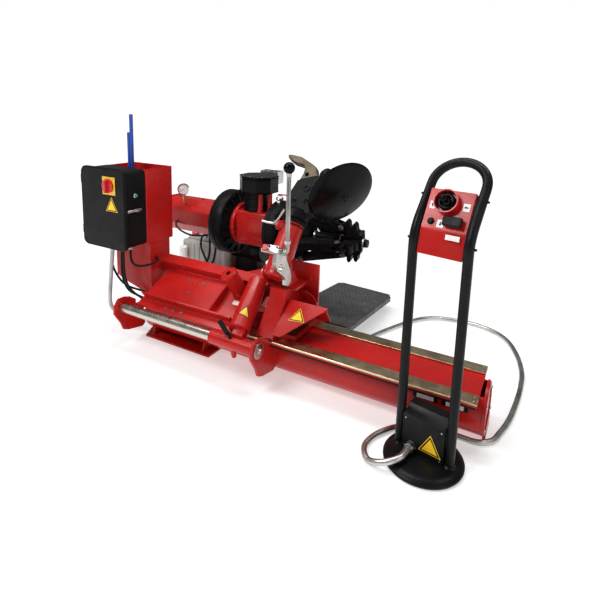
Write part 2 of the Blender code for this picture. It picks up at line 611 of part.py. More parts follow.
def tool_arm(slide):
    """Tilting tool arm with its turning head, lock pin, mounting hook and bead disc."""
    tilt = frame("tool_arm_pivot", (TOOL_X, TOOL_Y, TOOL_Z), slide)
    arm = frame("tool_arm_lean", (0, 0, 0), tilt, (-TOOL_LEAN, 0, 0))
    tube = add("tool_arm", turned([(0, -0.020), (0.050, -0.020), (TOOL_RADIUS, -0.012),
                                   (TOOL_RADIUS, TOOL_LENGTH), (0, TOOL_LENGTH)], 36), PAINT_RED, arm)
    out = Vector((-0.62, -0.785, 0))
    seat = Vector((0, 0, 0.230))
    join(tube, rod(seat + out * 0.040, seat + out * 0.082, 0.022, 20))
    join(tube, block((0.010, -0.170, 0.050), (0.0672, -0.045, 0.084), 0.004))
    join(tube, block((-0.020, -0.170, 0.050), (0.012, -0.130, 0.084), 0.004))
    pin_hole = Matrix.Rotation(TOOL_LEAN, 4, "X") @ Matrix.Translation((-TOOL_X, -TOOL_Y, -TOOL_Z))
    cut(tube, move(rod((0.70, LEVER_Y, LEVER_Z), (0.95, LEVER_Y, LEVER_Z), 0.0105 + GAP, 20), pin_hole))
    lock_pin(arm, seat, out)
    lock_lever(slide)
    tool_head(arm)
    return tilt


def lock_pin(arm, seat, out):
    """Spring pin that holds the tool head, with a bent bar as its handle."""
    holder = frame("head_lock_axis", seat, arm)
    pin = add("head_lock_pin", rod(out * 0.0824, out * 0.106, 0.011, 16), ZINC, holder)
    bar = [(-0.125, -0.088, -0.006), (-0.085, -0.086, -0.008), (-0.063, -0.082, -0.006),
           (-0.045, -0.090, 0.006),
           (-0.030, -0.100, 0.024), (-0.004, -0.126, 0.056)]
    join(pin, sweep(bar, 0.0065, 12))


def lock_lever(slide):
    """Cast hook on a cross pin with a long steel rod and a ball on top."""
    pivot = frame("lock_lever_axis", (LEVER_X, LEVER_Y, LEVER_Z), slide)
    hook = [(-0.165, 0.655), (-0.145, 0.668), (-0.115, 0.667), (-0.085, 0.642), (-0.078, 0.600),
            (-0.045, 0.545),
            (-0.030, 0.505), (-0.036, 0.478), (-0.060, 0.466), (-0.082, 0.476), (-0.080, 0.500), (-0.094,
                                                                                                  0.520),
            (-0.122, 0.542), (-0.158, 0.568), (-0.175, 0.610)]
    shape = prism([(y - LEVER_Y, z - LEVER_Z) for y, z in hook], -0.009, 0.009, "X")
    lever = add("lock_lever", shape, ZINC, pivot)
    join(lever, rod((-0.098, 0, 0), (0.005, 0, 0), 0.0105, 20))
    cut(lever, rod((-0.03, -0.006, -0.066), (0.03, -0.006, -0.066), 0.018, 20))
    route = [(0.0, 0.0, 0.0), (0.016, 0.002, 0.0), (0.022, 0.008, 0.003), (0.024, 0.016, 0.012),
             (0.024, 0.020, 0.030), (0.024, 0.020, 0.366)]
    join(lever, sweep(route, 0.0105, 16))
    join(lever, ball((0.024, 0.020, 0.390), 0.026))


def tool_head(arm):
    """Casting that turns on top of the tool arm, with the hook and the hub of the disc."""
    head = frame("tool_head_axis", (0, 0, TOOL_LENGTH), arm)
    profile = [(0, 0.0004), (0.068, 0.0004), (0.068, 0.040), (0.056, 0.056), (0, 0.056)]
    body = add("tool_head", turned(profile, 32), CAST_BLACK, head)
    web = [(-0.055, 0.030), (-0.072, 0.075), (-0.072, 0.126), (-0.048, 0.219), (0.049, 0.252),
           (0.125, 0.260),
           (0.135, 0.215), (0.095, 0.115), (0.075, 0.045), (0.055, 0.030)]
    join(body, prism(web, -0.032, 0.032, "Y"))

    turn = Matrix.Rotation(TOOL_LEAN, 4, "X")
    place = turn @ (Vector(DISC_PLACE) - Vector((TOOL_X, TOOL_Y, TOOL_Z))) - Vector((0, 0, TOOL_LENGTH))
    normal = (turn @ Vector(DISC_NORMAL)).normalized()
    join(body, rod(place - normal * 0.0454, place - normal * 0.170, 0.036, 24))

    tip = [(-0.045, 0.2260), (-0.036, 0.265), (-0.037, 0.294), (-0.052, 0.318), (-0.115, 0.331),
           (-0.160, 0.357),
           (-0.168, 0.376), (-0.133, 0.375), (-0.080, 0.367), (0.000, 0.328), (0.025, 0.312), (0.049,
                                                                                               0.2595)]
    add("mounting_hook", prism(tip, -0.024, 0.024, "Y"), BRONZE, head)

    spin = frame("bead_disc_axis", place, head)
    spin.rotation_euler = normal.to_track_quat("Z", "Y").to_euler()
    radius = DISC_RADIUS
    dome = [(0, 0.036), (0.050, 0.033), (0.100, 0.024), (0.150, 0.010), (radius - 0.005, 0.001),
            (radius, -0.004), (radius - 0.005, -0.007), (0.140, 0.001), (0.090, 0.014), (0.045, 0.020),
            (0.040, -0.045), (0, -0.045)]
    add("bead_disc", turned(dome, 56), PLASTIC_BLACK, spin)


def stand_route():
    """Centre line of the bent stand tube, from one foot over the top to the other."""
    half, bend, back = STAND_HALF, STAND_BEND, STAND_SET_BACK
    lean = math.atan2(STAND_SHOULDER - bend, back)
    up = [(-half, 0, 0.0304), (-half, 0, bend - 0.05), (-half, 0.002, bend - 0.025)]
    up += [(-half, 0.011, bend + 0.004), (-half, 0.030, bend + 0.038), (-half, back, STAND_SHOULDER)]
    over = []
    for k in range(1, 16):
        angle = math.pi * k / 16
        rise = half * math.sin(angle)
        over.append((-half * math.cos(angle), back + rise * math.cos(lean),
                     STAND_SHOULDER + rise * math.sin(lean)))
    down = [(-x, y, z) for x, y, z in reversed(up)]
    return up + over + down


def console_face(u, f, out=0.0):
    """Point on the upper slope of the console: u across, f up the slope, out from its surface."""
    slope = math.atan2(0.135, 0.075)
    return (u, 0.010 + f * math.cos(slope) - out * math.sin(slope),
            0.885 + f * math.sin(slope) + out * math.cos(slope))


def control_stand(root):
    """Round base, bent tube, console with its controls and the junction box."""
    stand = frame("control_stand", (STAND_X, STAND_Y, 0), root, (0, 0, STAND_TURN))
    foot = [(0, 0), (STAND_RADIUS - 0.006, 0), (STAND_RADIUS, 0.006), (STAND_RADIUS, 0.014),
            (STAND_RADIUS - 0.022, 0.026), (0, 0.030)]
    add("stand_base", turned(foot, 48), PAINT_BLACK, stand)
    add("stand_frame", sweep(stand_route(), STAND_TUBE, 18), PAINT_BLACK, stand)
    half = STAND_HALF - STAND_TUBE - 0.001
    side = [(-0.010, 0.797), (0.0081, 0.8766), (0.0092, 0.8808), (0.0106, 0.8848), (0.0122, 0.8887)]
    side += [(0.0142, 0.8925), (0.085, 1.020), (0.125, 0.998), (0.065, 0.880), (0.055, 0.797)]
    desk = add("console", prism(side, -half, half, "X"), PAINT_RED, stand)
    collar = turned([(0.040, -0.004), (0.0435, -0.004), (0.0435, 0.026), (0.040, 0.026)], 48)
    tilt = Matrix.Rotation(math.atan2(0.135, 0.075), 4, "X")
    join(desk, move(collar, Matrix.Translation(console_face(-0.009, 0.105)) @ tilt))
    cut(desk, rod(console_face(-0.051, 0.030, -0.009), console_face(-0.051, 0.030, 0.02), 0.0094, 24))
    slope = math.atan2(0.135, 0.075)
    lean = math.pi / 2 - slope

    boot = frame("joystick_axis", console_face(-0.009, 0.105, GAP), stand, (math.pi / 2 - lean, 0, 0))
    ring = [(0.022, 0), (0.031, 0), (0.031, 0.016), (0.027, 0.022), (0.022, 0.022)]
    add("joystick_ring", turned(ring, 36), PLASTIC_BLACK, boot)
    stick = add("joystick", rod((0, 0, 0.004), (0, 0, 0.044), 0.007, 16), PLASTIC_BLACK, boot)
    join(stick, ball((0, 0, 0.048), 0.014, 20))

    rocker = frame("rocker_axis", console_face(0.031, 0.035, GAP), stand, (math.pi / 2 - lean, 0, 0))
    lever = add("rocker_lever", block((-0.034, -0.018, 0.008), (0.034, 0.018, 0.026), 0.004), PLASTIC_BLACK,
                rocker)
    join(lever, block((-0.010, -0.007, 0.003), (0.010, 0.007, 0.010)))

    button = frame("button_axis", console_face(-0.051, 0.030, GAP), stand, (math.pi / 2 - lean, 0, 0))
    add("push_button", turned([(0, -0.0045), (0.009, -0.0045), (0.009, 0.007), (0, 0.009)], 24),
        PLASTIC_BLACK,
        button)

    outline = [(-0.020, 0.0306), (-0.020, 0.166), (0.030, 0.188), (0.075, 0.188), (0.075, 0.0306)]
    box = add("junction_box", prism(outline, -half, half, "X"), PAINT_BLACK, stand)
    join(box, rod((-0.041, -0.044, 0.052), (-0.041, -0.015, 0.052), 0.016, 16))
    return stand


def control_hose(machine):
    """Corrugated hose from the gland of the stand, over the floor, to the rear of the bed tube."""
    z = HOSE_DIAMETER / 2 + 0.001
    turn = Matrix.Rotation(STAND_TURN, 4, "Z")
    gland = turn @ Vector((-0.041, -0.0450, 0.052)) + Vector((STAND_X, STAND_Y, 0))
    near = turn @ Vector((-0.041, -0.100, 0.052)) + Vector((STAND_X, STAND_Y, 0))
    route = [gland, near, (1.502, -0.390, 0.036), (1.440, -0.385, z), (1.402, -0.335, z),
             (1.412, -0.250, z),
             (1.478, -0.148, z), (1.600, -0.082, z), (1.715, -0.078, z), (1.790, -0.070, z), (1.834, -0.020,
                                                                                              z),
             (1.882, 0.200, z), (1.895, 0.560, z), (1.815, 0.860, z), (1.690, 0.985, z), (1.500, 1.010, z),
             (1.310, 0.920, z), (1.160, 0.640, z), (1.050, 0.330, z), (0.995, 0.170, 0.020), (0.980, 0.125,
                                                                                              0.042),
             (0.980, 0.0893, 0.0635)]
    cord("control_hose", route, HOSE_DIAMETER, ZINC, machine, 0.052)


def scene_parts():
    machine = frame("machine", (0, 0, 0))
    bed(machine)
    left_foot(machine)
    rear_frame(machine)
    bar_bracket("left_bar_bracket", BAR_LEFT, 0.012, machine)
    bar_bracket("right_bar_bracket", BAR_RIGHT - 0.014, 0.014, machine)
    bar = [(0, BAR_LEFT - 0.004), (BAR_RADIUS, BAR_LEFT - 0.004), (BAR_RADIUS, BAR_RIGHT + GAP),
           (0.037, BAR_RIGHT + GAP), (0.037, BAR_RIGHT + 0.006), (0, BAR_RIGHT + 0.006)]
    steel = add("pivot_bar", turned(bar, 32, "X"), STEEL, machine)
    steel.location = (0, BAR_Y, BAR_Z)
    column(machine)
    cabinet(machine)
    tool_bin(machine)
    power_unit(machine)
    arm, slope, plate = chuck_arm(machine)
    lift(slope, plate)
    lock_handle(slope)
    head = drive(arm)
    chuck(head)
    slide = carriage(machine)
    tool_arm(slide)
    control_stand(machine)
    control_hose(machine)
    return machine


def centre(machine):
    """Moves the machine so that the origin is under the middle of its box, without the hose."""
    bpy.context.view_layer.update()
    graph = bpy.context.evaluated_depsgraph_get()
    low, high = [1e9, 1e9], [-1e9, -1e9]
    for item in bpy.data.objects:
        if item.type != "MESH" or item in HIDDEN:
            continue
        shape = item.evaluated_get(graph)
        for vertex in shape.data.vertices:
            place = item.matrix_world @ vertex.co
            low = [min(a, b) for a, b in zip(low, place)]
            high = [max(a, b) for a, b in zip(high, place)]
    machine.location = (-(low[0] + high[0]) / 2, -(low[1] + high[1]) / 2, 0)
    bpy.context.view_layer.update()


def clear_scene():
    for item in list(bpy.data.objects):
        bpy.data.objects.remove(item, do_unlink=True)


clear_scene()
centre(scene_parts())
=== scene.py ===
"""Looks of the truck tyre changer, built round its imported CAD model. Metres, +Z up."""
import json
import math

import bmesh
import bpy
from mathutils import Matrix, Vector, noise


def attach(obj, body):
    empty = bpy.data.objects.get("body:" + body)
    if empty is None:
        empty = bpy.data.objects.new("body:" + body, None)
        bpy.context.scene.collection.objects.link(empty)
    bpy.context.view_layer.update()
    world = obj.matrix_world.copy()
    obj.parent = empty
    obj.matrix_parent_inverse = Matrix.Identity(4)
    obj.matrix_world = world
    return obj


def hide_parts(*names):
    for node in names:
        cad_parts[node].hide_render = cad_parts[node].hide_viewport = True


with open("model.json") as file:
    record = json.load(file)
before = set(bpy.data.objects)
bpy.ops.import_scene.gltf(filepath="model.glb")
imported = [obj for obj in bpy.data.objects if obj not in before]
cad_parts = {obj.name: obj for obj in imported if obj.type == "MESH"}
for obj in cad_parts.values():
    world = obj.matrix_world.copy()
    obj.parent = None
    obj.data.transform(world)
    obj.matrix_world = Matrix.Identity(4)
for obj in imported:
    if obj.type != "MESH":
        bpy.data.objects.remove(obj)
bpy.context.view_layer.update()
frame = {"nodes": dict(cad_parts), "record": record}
NODES = frame["nodes"]
BODY_OF = {n: b for b, ns in frame["record"]["behaviour"]["bodies"].items() for n in ns}
SLOT_OF = {s["node"]: s["material_slot"] for s in frame["record"]["subparts"]}


# ---------------------------------------------------------------- frames of the machine
def spin(degrees, axis):
    return Matrix.Rotation(math.radians(degrees), 4, axis)


def shift(x, y, z):
    return Matrix.Translation((x, y, z))


TUBE_Z, TUBE_R = 0.126, 0.108  # height of the bed tube's axis, and its radius
BAR_Y, BAR_Z = -0.25, 0.218  # axis of the bar on which the chuck arm swings
MACHINE = shift(-0.6655, -0.312, 0)
TUBE = MACHINE @ shift(0, 0, TUBE_Z)
SLOPE = MACHINE @ shift(0, BAR_Y, BAR_Z) @ spin(28, "X")  # plate of the chuck arm
CYLINDER = SLOPE @ shift(0.6, 0.266, 0) @ spin(-13.6, "Y")
DRIVE = MACHINE @ shift(0, 0.469, 0.572)  # axis of the chuck and its gearbox
DRUM = DRIVE @ shift(0.393, -0.03, 0)
PUMP = MACHINE @ shift(0, 0.85, 0.29)
STAND = shift(0.9455, -0.573, 0) @ spin(-10.5, "Z")
LEAN = MACHINE @ shift(0.807, -0.031, 0.5) @ spin(-37.7, "X")  # tilting tool arm
HEAD = LEAN @ shift(0, 0, 0.285)
LEVER = MACHINE @ shift(0.884, -0.12, 0.64)
DOOR = MACHINE @ shift(-0.295, -0.236, 0.531)
GUARD = MACHINE @ shift(0, -0.161, 0.2515) @ spin(34.4, "X")
RAMP = MACHINE @ shift(0, 0.24, 0.18) @ spin(-6.6, "X")
DISC = (MACHINE @ shift(1.029, 0.204, 0.884)
        @ Vector((0.749, -0.494, -0.439)).to_track_quat("Z", "Y").to_matrix().to_4x4())


# ---------------------------------------------------------------- camera, light and floor
PHOTO = 601  # width and height of the photograph in pixels
FOCAL = 470.5  # focal length in pixels
CENTRE = (300.0, 186.4)  # pixel where the camera's axis meets the photograph


def camera():
    a, e, r = math.radians(28.47), math.radians(9.7), math.radians(1.63)
    back = Vector((math.sin(a) * math.cos(e), -math.cos(a) * math.cos(e), math.sin(e)))
    right = Vector((math.cos(a), math.sin(a), 0))
    up = back.cross(right)
    across = right * math.cos(r) + up * math.sin(r)
    above = up * math.cos(r) - right * math.sin(r)
    lens = bpy.data.cameras.new("camera")
    made = bpy.data.objects.new("camera", lens)
    bpy.context.scene.collection.objects.link(made)
    turn = Matrix((across, above, back)).transposed().to_4x4()
    made.matrix_world = shift(1.2645, -2.193, 1.3) @ turn
    lens.sensor_width = 36
    lens.lens = lens.sensor_width * FOCAL / PHOTO
    lens.shift_x = (PHOTO / 2 - CENTRE[0]) / PHOTO
    lens.shift_y = (CENTRE[1] - PHOTO / 2) / PHOTO
    lens.clip_end = 200
    bpy.context.scene.camera = made


def lamp(name, place, target, size, power, colour=(1, 1, 1)):
    data = bpy.data.lights.new(name, "AREA")
    data.shape = "RECTANGLE"
    data.size, data.size_y = size
    data.energy = power
    data.color = colour
    made = bpy.data.objects.new(name, data)
    bpy.context.scene.collection.objects.link(made)
    made.location = place
    made.rotation_euler = (Vector(target) - Vector(place)).to_track_quat("-Z", "Y").to_euler()


def studio():
    """White for the camera, a dim white dome for the object, four area lamps and a pale floor."""
    world = bpy.data.worlds.new("world")
    bpy.context.scene.world = world
    world.use_nodes = True
    world.node_tree.nodes["Background"].inputs["Color"].default_value = (1, 1, 1, 1)
    tree = world.node_tree
    plain = tree.nodes["Background"]
    plain.inputs["Strength"].default_value = 0.17
    seen = tree.nodes.new("ShaderNodeBackground")
    seen.inputs["Color"].default_value = (1, 1, 1, 1)
    path = tree.nodes.new("ShaderNodeLightPath")
    both = tree.nodes.new("ShaderNodeMixShader")
    tree.links.new(path.outputs["Is Camera Ray"], both.inputs["Fac"])
    tree.links.new(plain.outputs["Background"], both.inputs[1])
    tree.links.new(seen.outputs["Background"], both.inputs[2])
    tree.links.new(both.outputs["Shader"], tree.nodes["World Output"].inputs["Surface"])
    lamp("key", (-1.2, -2.6, 3.4), (0, 0, 0.4), (1.6, 1.2), 82)
    lamp("strip_left", (-0.8, -0.2, 3.6), (0, 0, 0.3), (0.35, 3.4), 45)
    lamp("strip_right", (0.9, 0.2, 3.6), (0.3, 0, 0.3), (0.35, 3.4), 45)
    lamp("fill", (3.4, -1.6, 1.9), (0.4, 0, 0.5), (1.4, 1.8), 16)
    shape = bmesh.new()
    bmesh.ops.create_grid(shape, x_segments=1, y_segments=1, size=90)
    mesh = bpy.data.meshes.new("floor")
    shape.to_mesh(mesh)
    floor = bpy.data.objects.new("floor", mesh)
    bpy.context.scene.collection.objects.link(floor)
    n = Nodes("floor")
    away = n.add("ShaderNodeVectorMath", operation="LENGTH")
    n.link(n.place, away.inputs[0])
    n.link(n.span(away.outputs["Value"], 1.8, 4.5, 0.44, 0.92), n.shader.inputs["Emission Strength"])
    n.shader.inputs["Emission Color"].default_value = (1, 1, 1, 1)
    mesh.materials.append(n.finish((0.8, 0.8, 0.8), 0.8, spec=0.1))
    view = bpy.context.scene.view_settings
    view.view_transform = "Standard"
    view.exposure = 0.0


# ---------------------------------------------------------------- materials
MAT = {}


class Nodes:
    """Short way to write a node tree."""

    def __init__(self, name):
        self.made = MAT[name] = bpy.data.materials.new(name)
        self.made.use_nodes = True
        self.tree = self.made.node_tree
        self.shader = self.tree.nodes["Principled BSDF"]
        self.place = self.add("ShaderNodeTexCoord").outputs["Object"]

    def add(self, kind, **settings):
        node = self.tree.nodes.new(kind)
        for key, value in settings.items():
            setattr(node, key, value)
        return node

    def link(self, out, into):
        if hasattr(out, "links"):
            self.tree.links.new(out, into)
        else:
            into.default_value = out

    def noise(self, scale, detail=4.0, rough=0.55, stretch=None):
        node = self.add("ShaderNodeTexNoise")
        node.inputs["Scale"].default_value = scale
        node.inputs["Detail"].default_value = detail
        node.inputs["Roughness"].default_value = rough
        place = self.place
        if stretch:
            mapping = self.add("ShaderNodeMapping")
            mapping.inputs["Scale"].default_value = stretch
            self.link(place, mapping.inputs["Vector"])
            place = mapping.outputs["Vector"]
        self.link(place, node.inputs["Vector"])
        return node.outputs["Fac"]

    def span(self, value, low, high, to_low=0.0, to_high=1.0):
        node = self.add("ShaderNodeMapRange")
        node.inputs["From Min"].default_value = low
        node.inputs["From Max"].default_value = high
        node.inputs["To Min"].default_value = to_low
        node.inputs["To Max"].default_value = to_high
        self.link(value, node.inputs["Value"])
        return node.outputs["Result"]

    def math(self, kind, a, b=0.0):
        node = self.add("ShaderNodeMath", operation=kind)
        self.link(a, node.inputs[0])
        self.link(b, node.inputs[1])
        return node.outputs["Value"]

    def mix(self, factor, a, b):
        node = self.add("ShaderNodeMix", data_type="RGBA")
        self.link(factor, node.inputs["Factor"])
        for value, into in ((a, node.inputs["A"]), (b, node.inputs["B"])):
            if isinstance(value, tuple):
                into.default_value = (*value, 1.0)
            else:
                self.link(value, into)
        return node.outputs["Result"]

    def edges(self, radius):
        """1 on worn edges, 0 on flat faces."""
        soft = self.add("ShaderNodeBevel", samples=4)
        soft.inputs["Radius"].default_value = radius
        true = self.add("ShaderNodeNewGeometry")
        dot = self.add("ShaderNodeVectorMath", operation="DOT_PRODUCT")
        self.link(soft.outputs["Normal"], dot.inputs[0])
        self.link(true.outputs["Normal"], dot.inputs[1])
        return self.span(dot.outputs["Value"], 0.99, 0.9)

    def bump(self, height, strength, distance, under=None):
        node = self.add("ShaderNodeBump")
        node.inputs["Strength"].default_value = strength
        node.inputs["Distance"].default_value = distance
        self.link(height, node.inputs["Height"])
        if under:
            self.link(under, node.inputs["Normal"])
        return node.outputs["Normal"]

    def finish(self, colour, rough, normal=None, metallic=0.0, coat=0.0, coat_rough=0.1, spec=0.5):
        for value, key in ((colour, "Base Color"), (rough, "Roughness"), (metallic, "Metallic")):
            if isinstance(value, tuple):
                value = (*value, 1.0)
            self.link(value, self.shader.inputs[key])
        if normal:
            self.link(normal, self.shader.inputs["Normal"])
        self.shader.inputs["Coat Weight"].default_value = coat
        self.shader.inputs["Coat Roughness"].default_value = coat_rough
        self.shader.inputs["Specular IOR Level"].default_value = spec
        return self.made


def enamel(name, colour, dark, rough=0.28, coat=0.04, dust=0.13, spec=0.26):
    """Sprayed enamel: orange peel, uneven gloss, a little dust and worn edges."""
    n = Nodes(name)
    tone = n.span(n.noise(3.5, 5), 0.35, 0.65)
    base = n.mix(tone, colour, dark)
    dirt = n.math("MULTIPLY", n.span(n.noise(14, 8, 0.7), 0.52, 0.74), dust)
    base = n.mix(dirt, base, (0.2, 0.17, 0.15))
    worn = n.math("MULTIPLY", n.edges(0.0022), n.span(n.noise(38, 6, 0.7), 0.56, 0.64))
    base = n.mix(worn, base, (0.16, 0.13, 0.12))
    gloss = n.math("ADD", n.span(n.noise(9, 6), 0.3, 0.7, rough - 0.07, rough + 0.1),
                   n.math("MULTIPLY", worn, 0.3))
    wave = n.bump(n.noise(26, 2), 0.25, 0.0012)
    skin = n.bump(n.noise(420, 2), 0.5, 0.00012, wave)
    return n.finish(base, gloss, skin, coat=coat, coat_rough=0.12, spec=spec)


def casting(name, colour):
    """Painted casting: sandy skin, soft lumps, grey metal on the edges."""
    n = Nodes(name)
    base = n.mix(n.span(n.noise(6, 6), 0.35, 0.7), colour, tuple(c * 2.2 for c in colour))
    worn = n.math("MULTIPLY", n.edges(0.0025), n.span(n.noise(45, 6, 0.7), 0.5, 0.62))
    base = n.mix(worn, base, (0.05, 0.047, 0.045))
    gloss = n.span(n.noise(20, 6), 0.3, 0.7, 0.33, 0.57)
    lumps = n.bump(n.noise(60, 3), 0.35, 0.0015)
    skin = n.bump(n.noise(300, 4, 0.6), 0.5, 0.0004, lumps)
    return n.finish(base, gloss, skin, spec=0.1)


def plastic(name, colour, rough=0.4, grain=0.00008, coat=0.0, spec=0.5):
    """Moulded plastic or smooth paint with a fine grain and paler edges."""
    n = Nodes(name)
    base = n.mix(n.span(n.noise(8, 5), 0.4, 0.7), colour, tuple(c * 1.5 + 0.002 for c in colour))
    base = n.mix(n.math("MULTIPLY", n.edges(0.0016), 0.3), base, tuple(min(1, c * 2 + 0.015) for c in colour))
    gloss = n.span(n.noise(24, 7), 0.3, 0.7, rough - 0.06, rough + 0.1)
    return n.finish(base, gloss, n.bump(n.noise(900, 2), 0.6, grain), coat=coat, spec=spec)


def metal(name, colour, dark, rough, stretch, marks=0.5, spots=None):
    """Bare or plated metal with brush marks along one axis and dull stains."""
    n = Nodes(name)
    lines = n.noise(12, 6, 0.65, stretch)
    base = n.mix(n.span(lines, 0.3, 0.7), colour, dark)
    if spots:
        base = n.mix(n.math("MULTIPLY", n.span(n.noise(7, 7, 0.62), 0.44, 0.66), 0.85), base, spots)
    gloss = n.math("ADD", n.span(n.noise(16, 6), 0.3, 0.7, rough - 0.08, rough + 0.12),
                   n.span(lines, 0.3, 0.7, -0.04, 0.06))
    return n.finish(base, gloss, n.bump(lines, marks, 0.00025), metallic=1.0)


def tread(name, colour):
    """Anti-slip coating with raised lozenges on a dark sheet."""
    n = Nodes(name)
    grid = n.add("ShaderNodeTexVoronoi", feature="F1", distance="MANHATTAN")
    grid.inputs["Scale"].default_value = 46
    grid.inputs["Randomness"].default_value = 0.0
    n.link(n.place, grid.inputs["Vector"])
    studs = n.span(grid.outputs["Distance"], 0.3, 0.42, 1.0, 0.0)
    base = n.mix(studs, colour, tuple(c * 2.2 for c in colour))
    base = n.mix(n.span(n.noise(10, 8, 0.7), 0.42, 0.72, 0, 0.6), base, (0.15, 0.145, 0.14))
    rise = n.bump(studs, 0.9, 0.0012)
    return n.finish(base, n.span(n.noise(30, 6), 0.3, 0.7, 0.42, 0.68),
                    n.bump(n.noise(500, 3), 0.5, 0.0003, rise))


def materials():
    enamel("paint_red", (0.54, 0.014, 0.011), (0.41, 0.008, 0.007))
    enamel("paint_black", (0.005, 0.005, 0.0055), (0.008, 0.008, 0.0085), 0.34, coat=0.0, dust=0.05,
           spec=0.14)
    enamel("paint_blue", (0.014, 0.075, 0.42), (0.01, 0.05, 0.3), 0.36, dust=0.15)
    enamel("tank_grey", (0.46, 0.46, 0.43), (0.36, 0.36, 0.34), 0.42, coat=0.1, dust=0.5)
    enamel("rust", (0.13, 0.045, 0.02), (0.08, 0.03, 0.015), 0.6, coat=0.0)
    casting("cast_black", (0.0035, 0.0035, 0.004))
    plastic("plastic_black", (0.004, 0.004, 0.0045), 0.42, spec=0.14)
    plastic("gloss_black", (0.0015, 0.0015, 0.0018), 0.2, 0.00003, spec=0.1)
    plastic("rubber", (0.006, 0.006, 0.006), 0.5, 0.00015, spec=0.2)
    plastic("print_black", (0.005, 0.005, 0.005), 0.4, spec=0.15)
    plastic("stud_grey", (0.115, 0.115, 0.112), 0.5)
    plastic("grey_pipe", (0.42, 0.43, 0.43), 0.45)
    plastic("white", (0.74, 0.74, 0.72), 0.4)
    plastic("clear_dial", (0.92, 0.92, 0.9), 0.3)
    plastic("yellow", (0.83, 0.5, 0.012), 0.35)
    plastic("knob_red", (0.52, 0.008, 0.012), 0.28, coat=0.4)
    plastic("green", (0.01, 0.34, 0.12), 0.18, coat=0.8)
    metal("steel", (0.62, 0.58, 0.52), (0.5, 0.46, 0.4), 0.26, (1, 80, 80))
    metal("rail", (0.82, 0.67, 0.46), (0.62, 0.47, 0.28), 0.3, (1, 90, 90), spots=(0.38, 0.25, 0.13))
    metal("lever_steel", (0.66, 0.64, 0.6), (0.4, 0.39, 0.36), 0.33, (14, 14, 14), spots=(0.22, 0.21, 0.19))
    metal("chrome", (0.8, 0.8, 0.8), (0.66, 0.66, 0.66), 0.16, (1, 30, 30), marks=0.2)
    metal("zinc", (0.6, 0.6, 0.58), (0.46, 0.46, 0.45), 0.32, (30, 30, 30), marks=0.3)
    metal("forged", (0.15, 0.122, 0.088), (0.09, 0.073, 0.052), 0.5, (20, 20, 20), spots=(0.05, 0.038, 0.026))
    metal("bolt_grey", (0.3, 0.29, 0.27), (0.16, 0.155, 0.15), 0.35, (20, 20, 20))
    metal("brass", (0.6, 0.42, 0.16), (0.44, 0.29, 0.1), 0.35, (20, 20, 20))
    metal("hose", (0.78, 0.77, 0.74), (0.55, 0.54, 0.52), 0.34, (40, 40, 40), spots=(0.42, 0.4, 0.36))
    tread("chequer_grey", (0.052, 0.054, 0.055))


# ---------------------------------------------------------------- shapes
def at(shape, matrix):
    """Moves a shape and returns it."""
    bmesh.ops.transform(shape, matrix=matrix, verts=shape.verts)
    return shape


def along(start, axis):
    """Puts the Z axis of a shape on an axis that leaves from start."""
    return shift(*start) @ Vector(axis).to_track_quat("Z", "Y").to_matrix().to_4x4()


def circle(count, first=0.0, radius=1.0):
    """Points evenly spaced on a circle; first is the angle of the first one in degrees."""
    angles = [math.radians(first + 360 / count * k) for k in range(count)]
    return [(radius * math.cos(a), radius * math.sin(a)) for a in angles]


def block(low, high, bevel=0.0, segments=2):
    shape = bmesh.new()
    size = [b - a for a, b in zip(low, high)]
    centre = [(a + b) / 2 for a, b in zip(low, high)]
    bmesh.ops.create_cube(shape, size=1.0)
    at(shape, shift(*centre) @ Matrix.Diagonal((*size, 1.0)))
    if bevel:
        bmesh.ops.bevel(shape, geom=list(shape.edges), offset=bevel, segments=segments, profile=0.5,
                        affect="EDGES")
    return shape


def prism(outline, low, high, axis="Z", bevel=0.0):
    """An outline pulled from low to high along Z or Y."""
    lay = {"Z": lambda a, b, h: (a, b, h), "Y": lambda a, b, h: (a, h, b)}[axis]
    shape = bmesh.new()
    face = shape.faces.new([shape.verts.new(lay(a, b, low)) for a, b in outline])
    top = bmesh.ops.extrude_face_region(shape, geom=[face])["geom"]
    verts = [item for item in top if isinstance(item, bmesh.types.BMVert)]
    bmesh.ops.translate(shape, verts=verts, vec=Vector(lay(0, 0, high - low)))
    if bevel:
        bmesh.ops.bevel(shape, geom=list(shape.edges), offset=bevel, segments=2, profile=0.5, affect="EDGES")
    return shape


def turned(profile, sides=48, axis="Z", start=0.0):
    """Turns a profile of (radius, height) round an axis; a profile clear of the axis gives a ring."""
    shape = bmesh.new()
    rings = []
    for radius, height in profile:
        if radius < 1e-6:
            rings.append([shape.verts.new((0, 0, height))])
            continue
        angles = [start + 2 * math.pi * k / sides for k in range(sides)]
        rings.append([shape.verts.new((radius * math.cos(a), radius * math.sin(a), height)) for a in angles])
    closed = profile[0][0] > 1e-6 and profile[-1][0] > 1e-6
    for one, two in list(zip(rings, rings[1:])) + ([(rings[-1], rings[0])] if closed else []):
        for k in range(sides):
            j = (k + 1) % sides
            corners = [one[k % len(one)], one[j % len(one)], two[j % len(two)], two[k % len(two)]]
            shape.faces.new(list(dict.fromkeys(corners)))
    return at(shape, spin(90, "Y")) if axis == "X" else shape


def band(inner, outer, low, high, sides=64, axis="Z", start=0.0):
    """A ring of square section."""
    return turned([(inner, low), (outer, low), (outer, high), (inner, high)], sides, axis, start)


def rod(start, end, radius, sides=32, ease=0.0):
    """A round bar between two points; ease is the chamfer of its ends."""
    length = (Vector(end) - Vector(start)).length
    profile = [(0, 0), (radius, 0), (radius, length), (0, length)]
    if ease:
        profile[1:3] = [(radius - ease, 0), (radius, ease), (radius, length - ease), (radius - ease, length)]
    return at(turned(profile, sides), along(start, Vector(end) - Vector(start)))


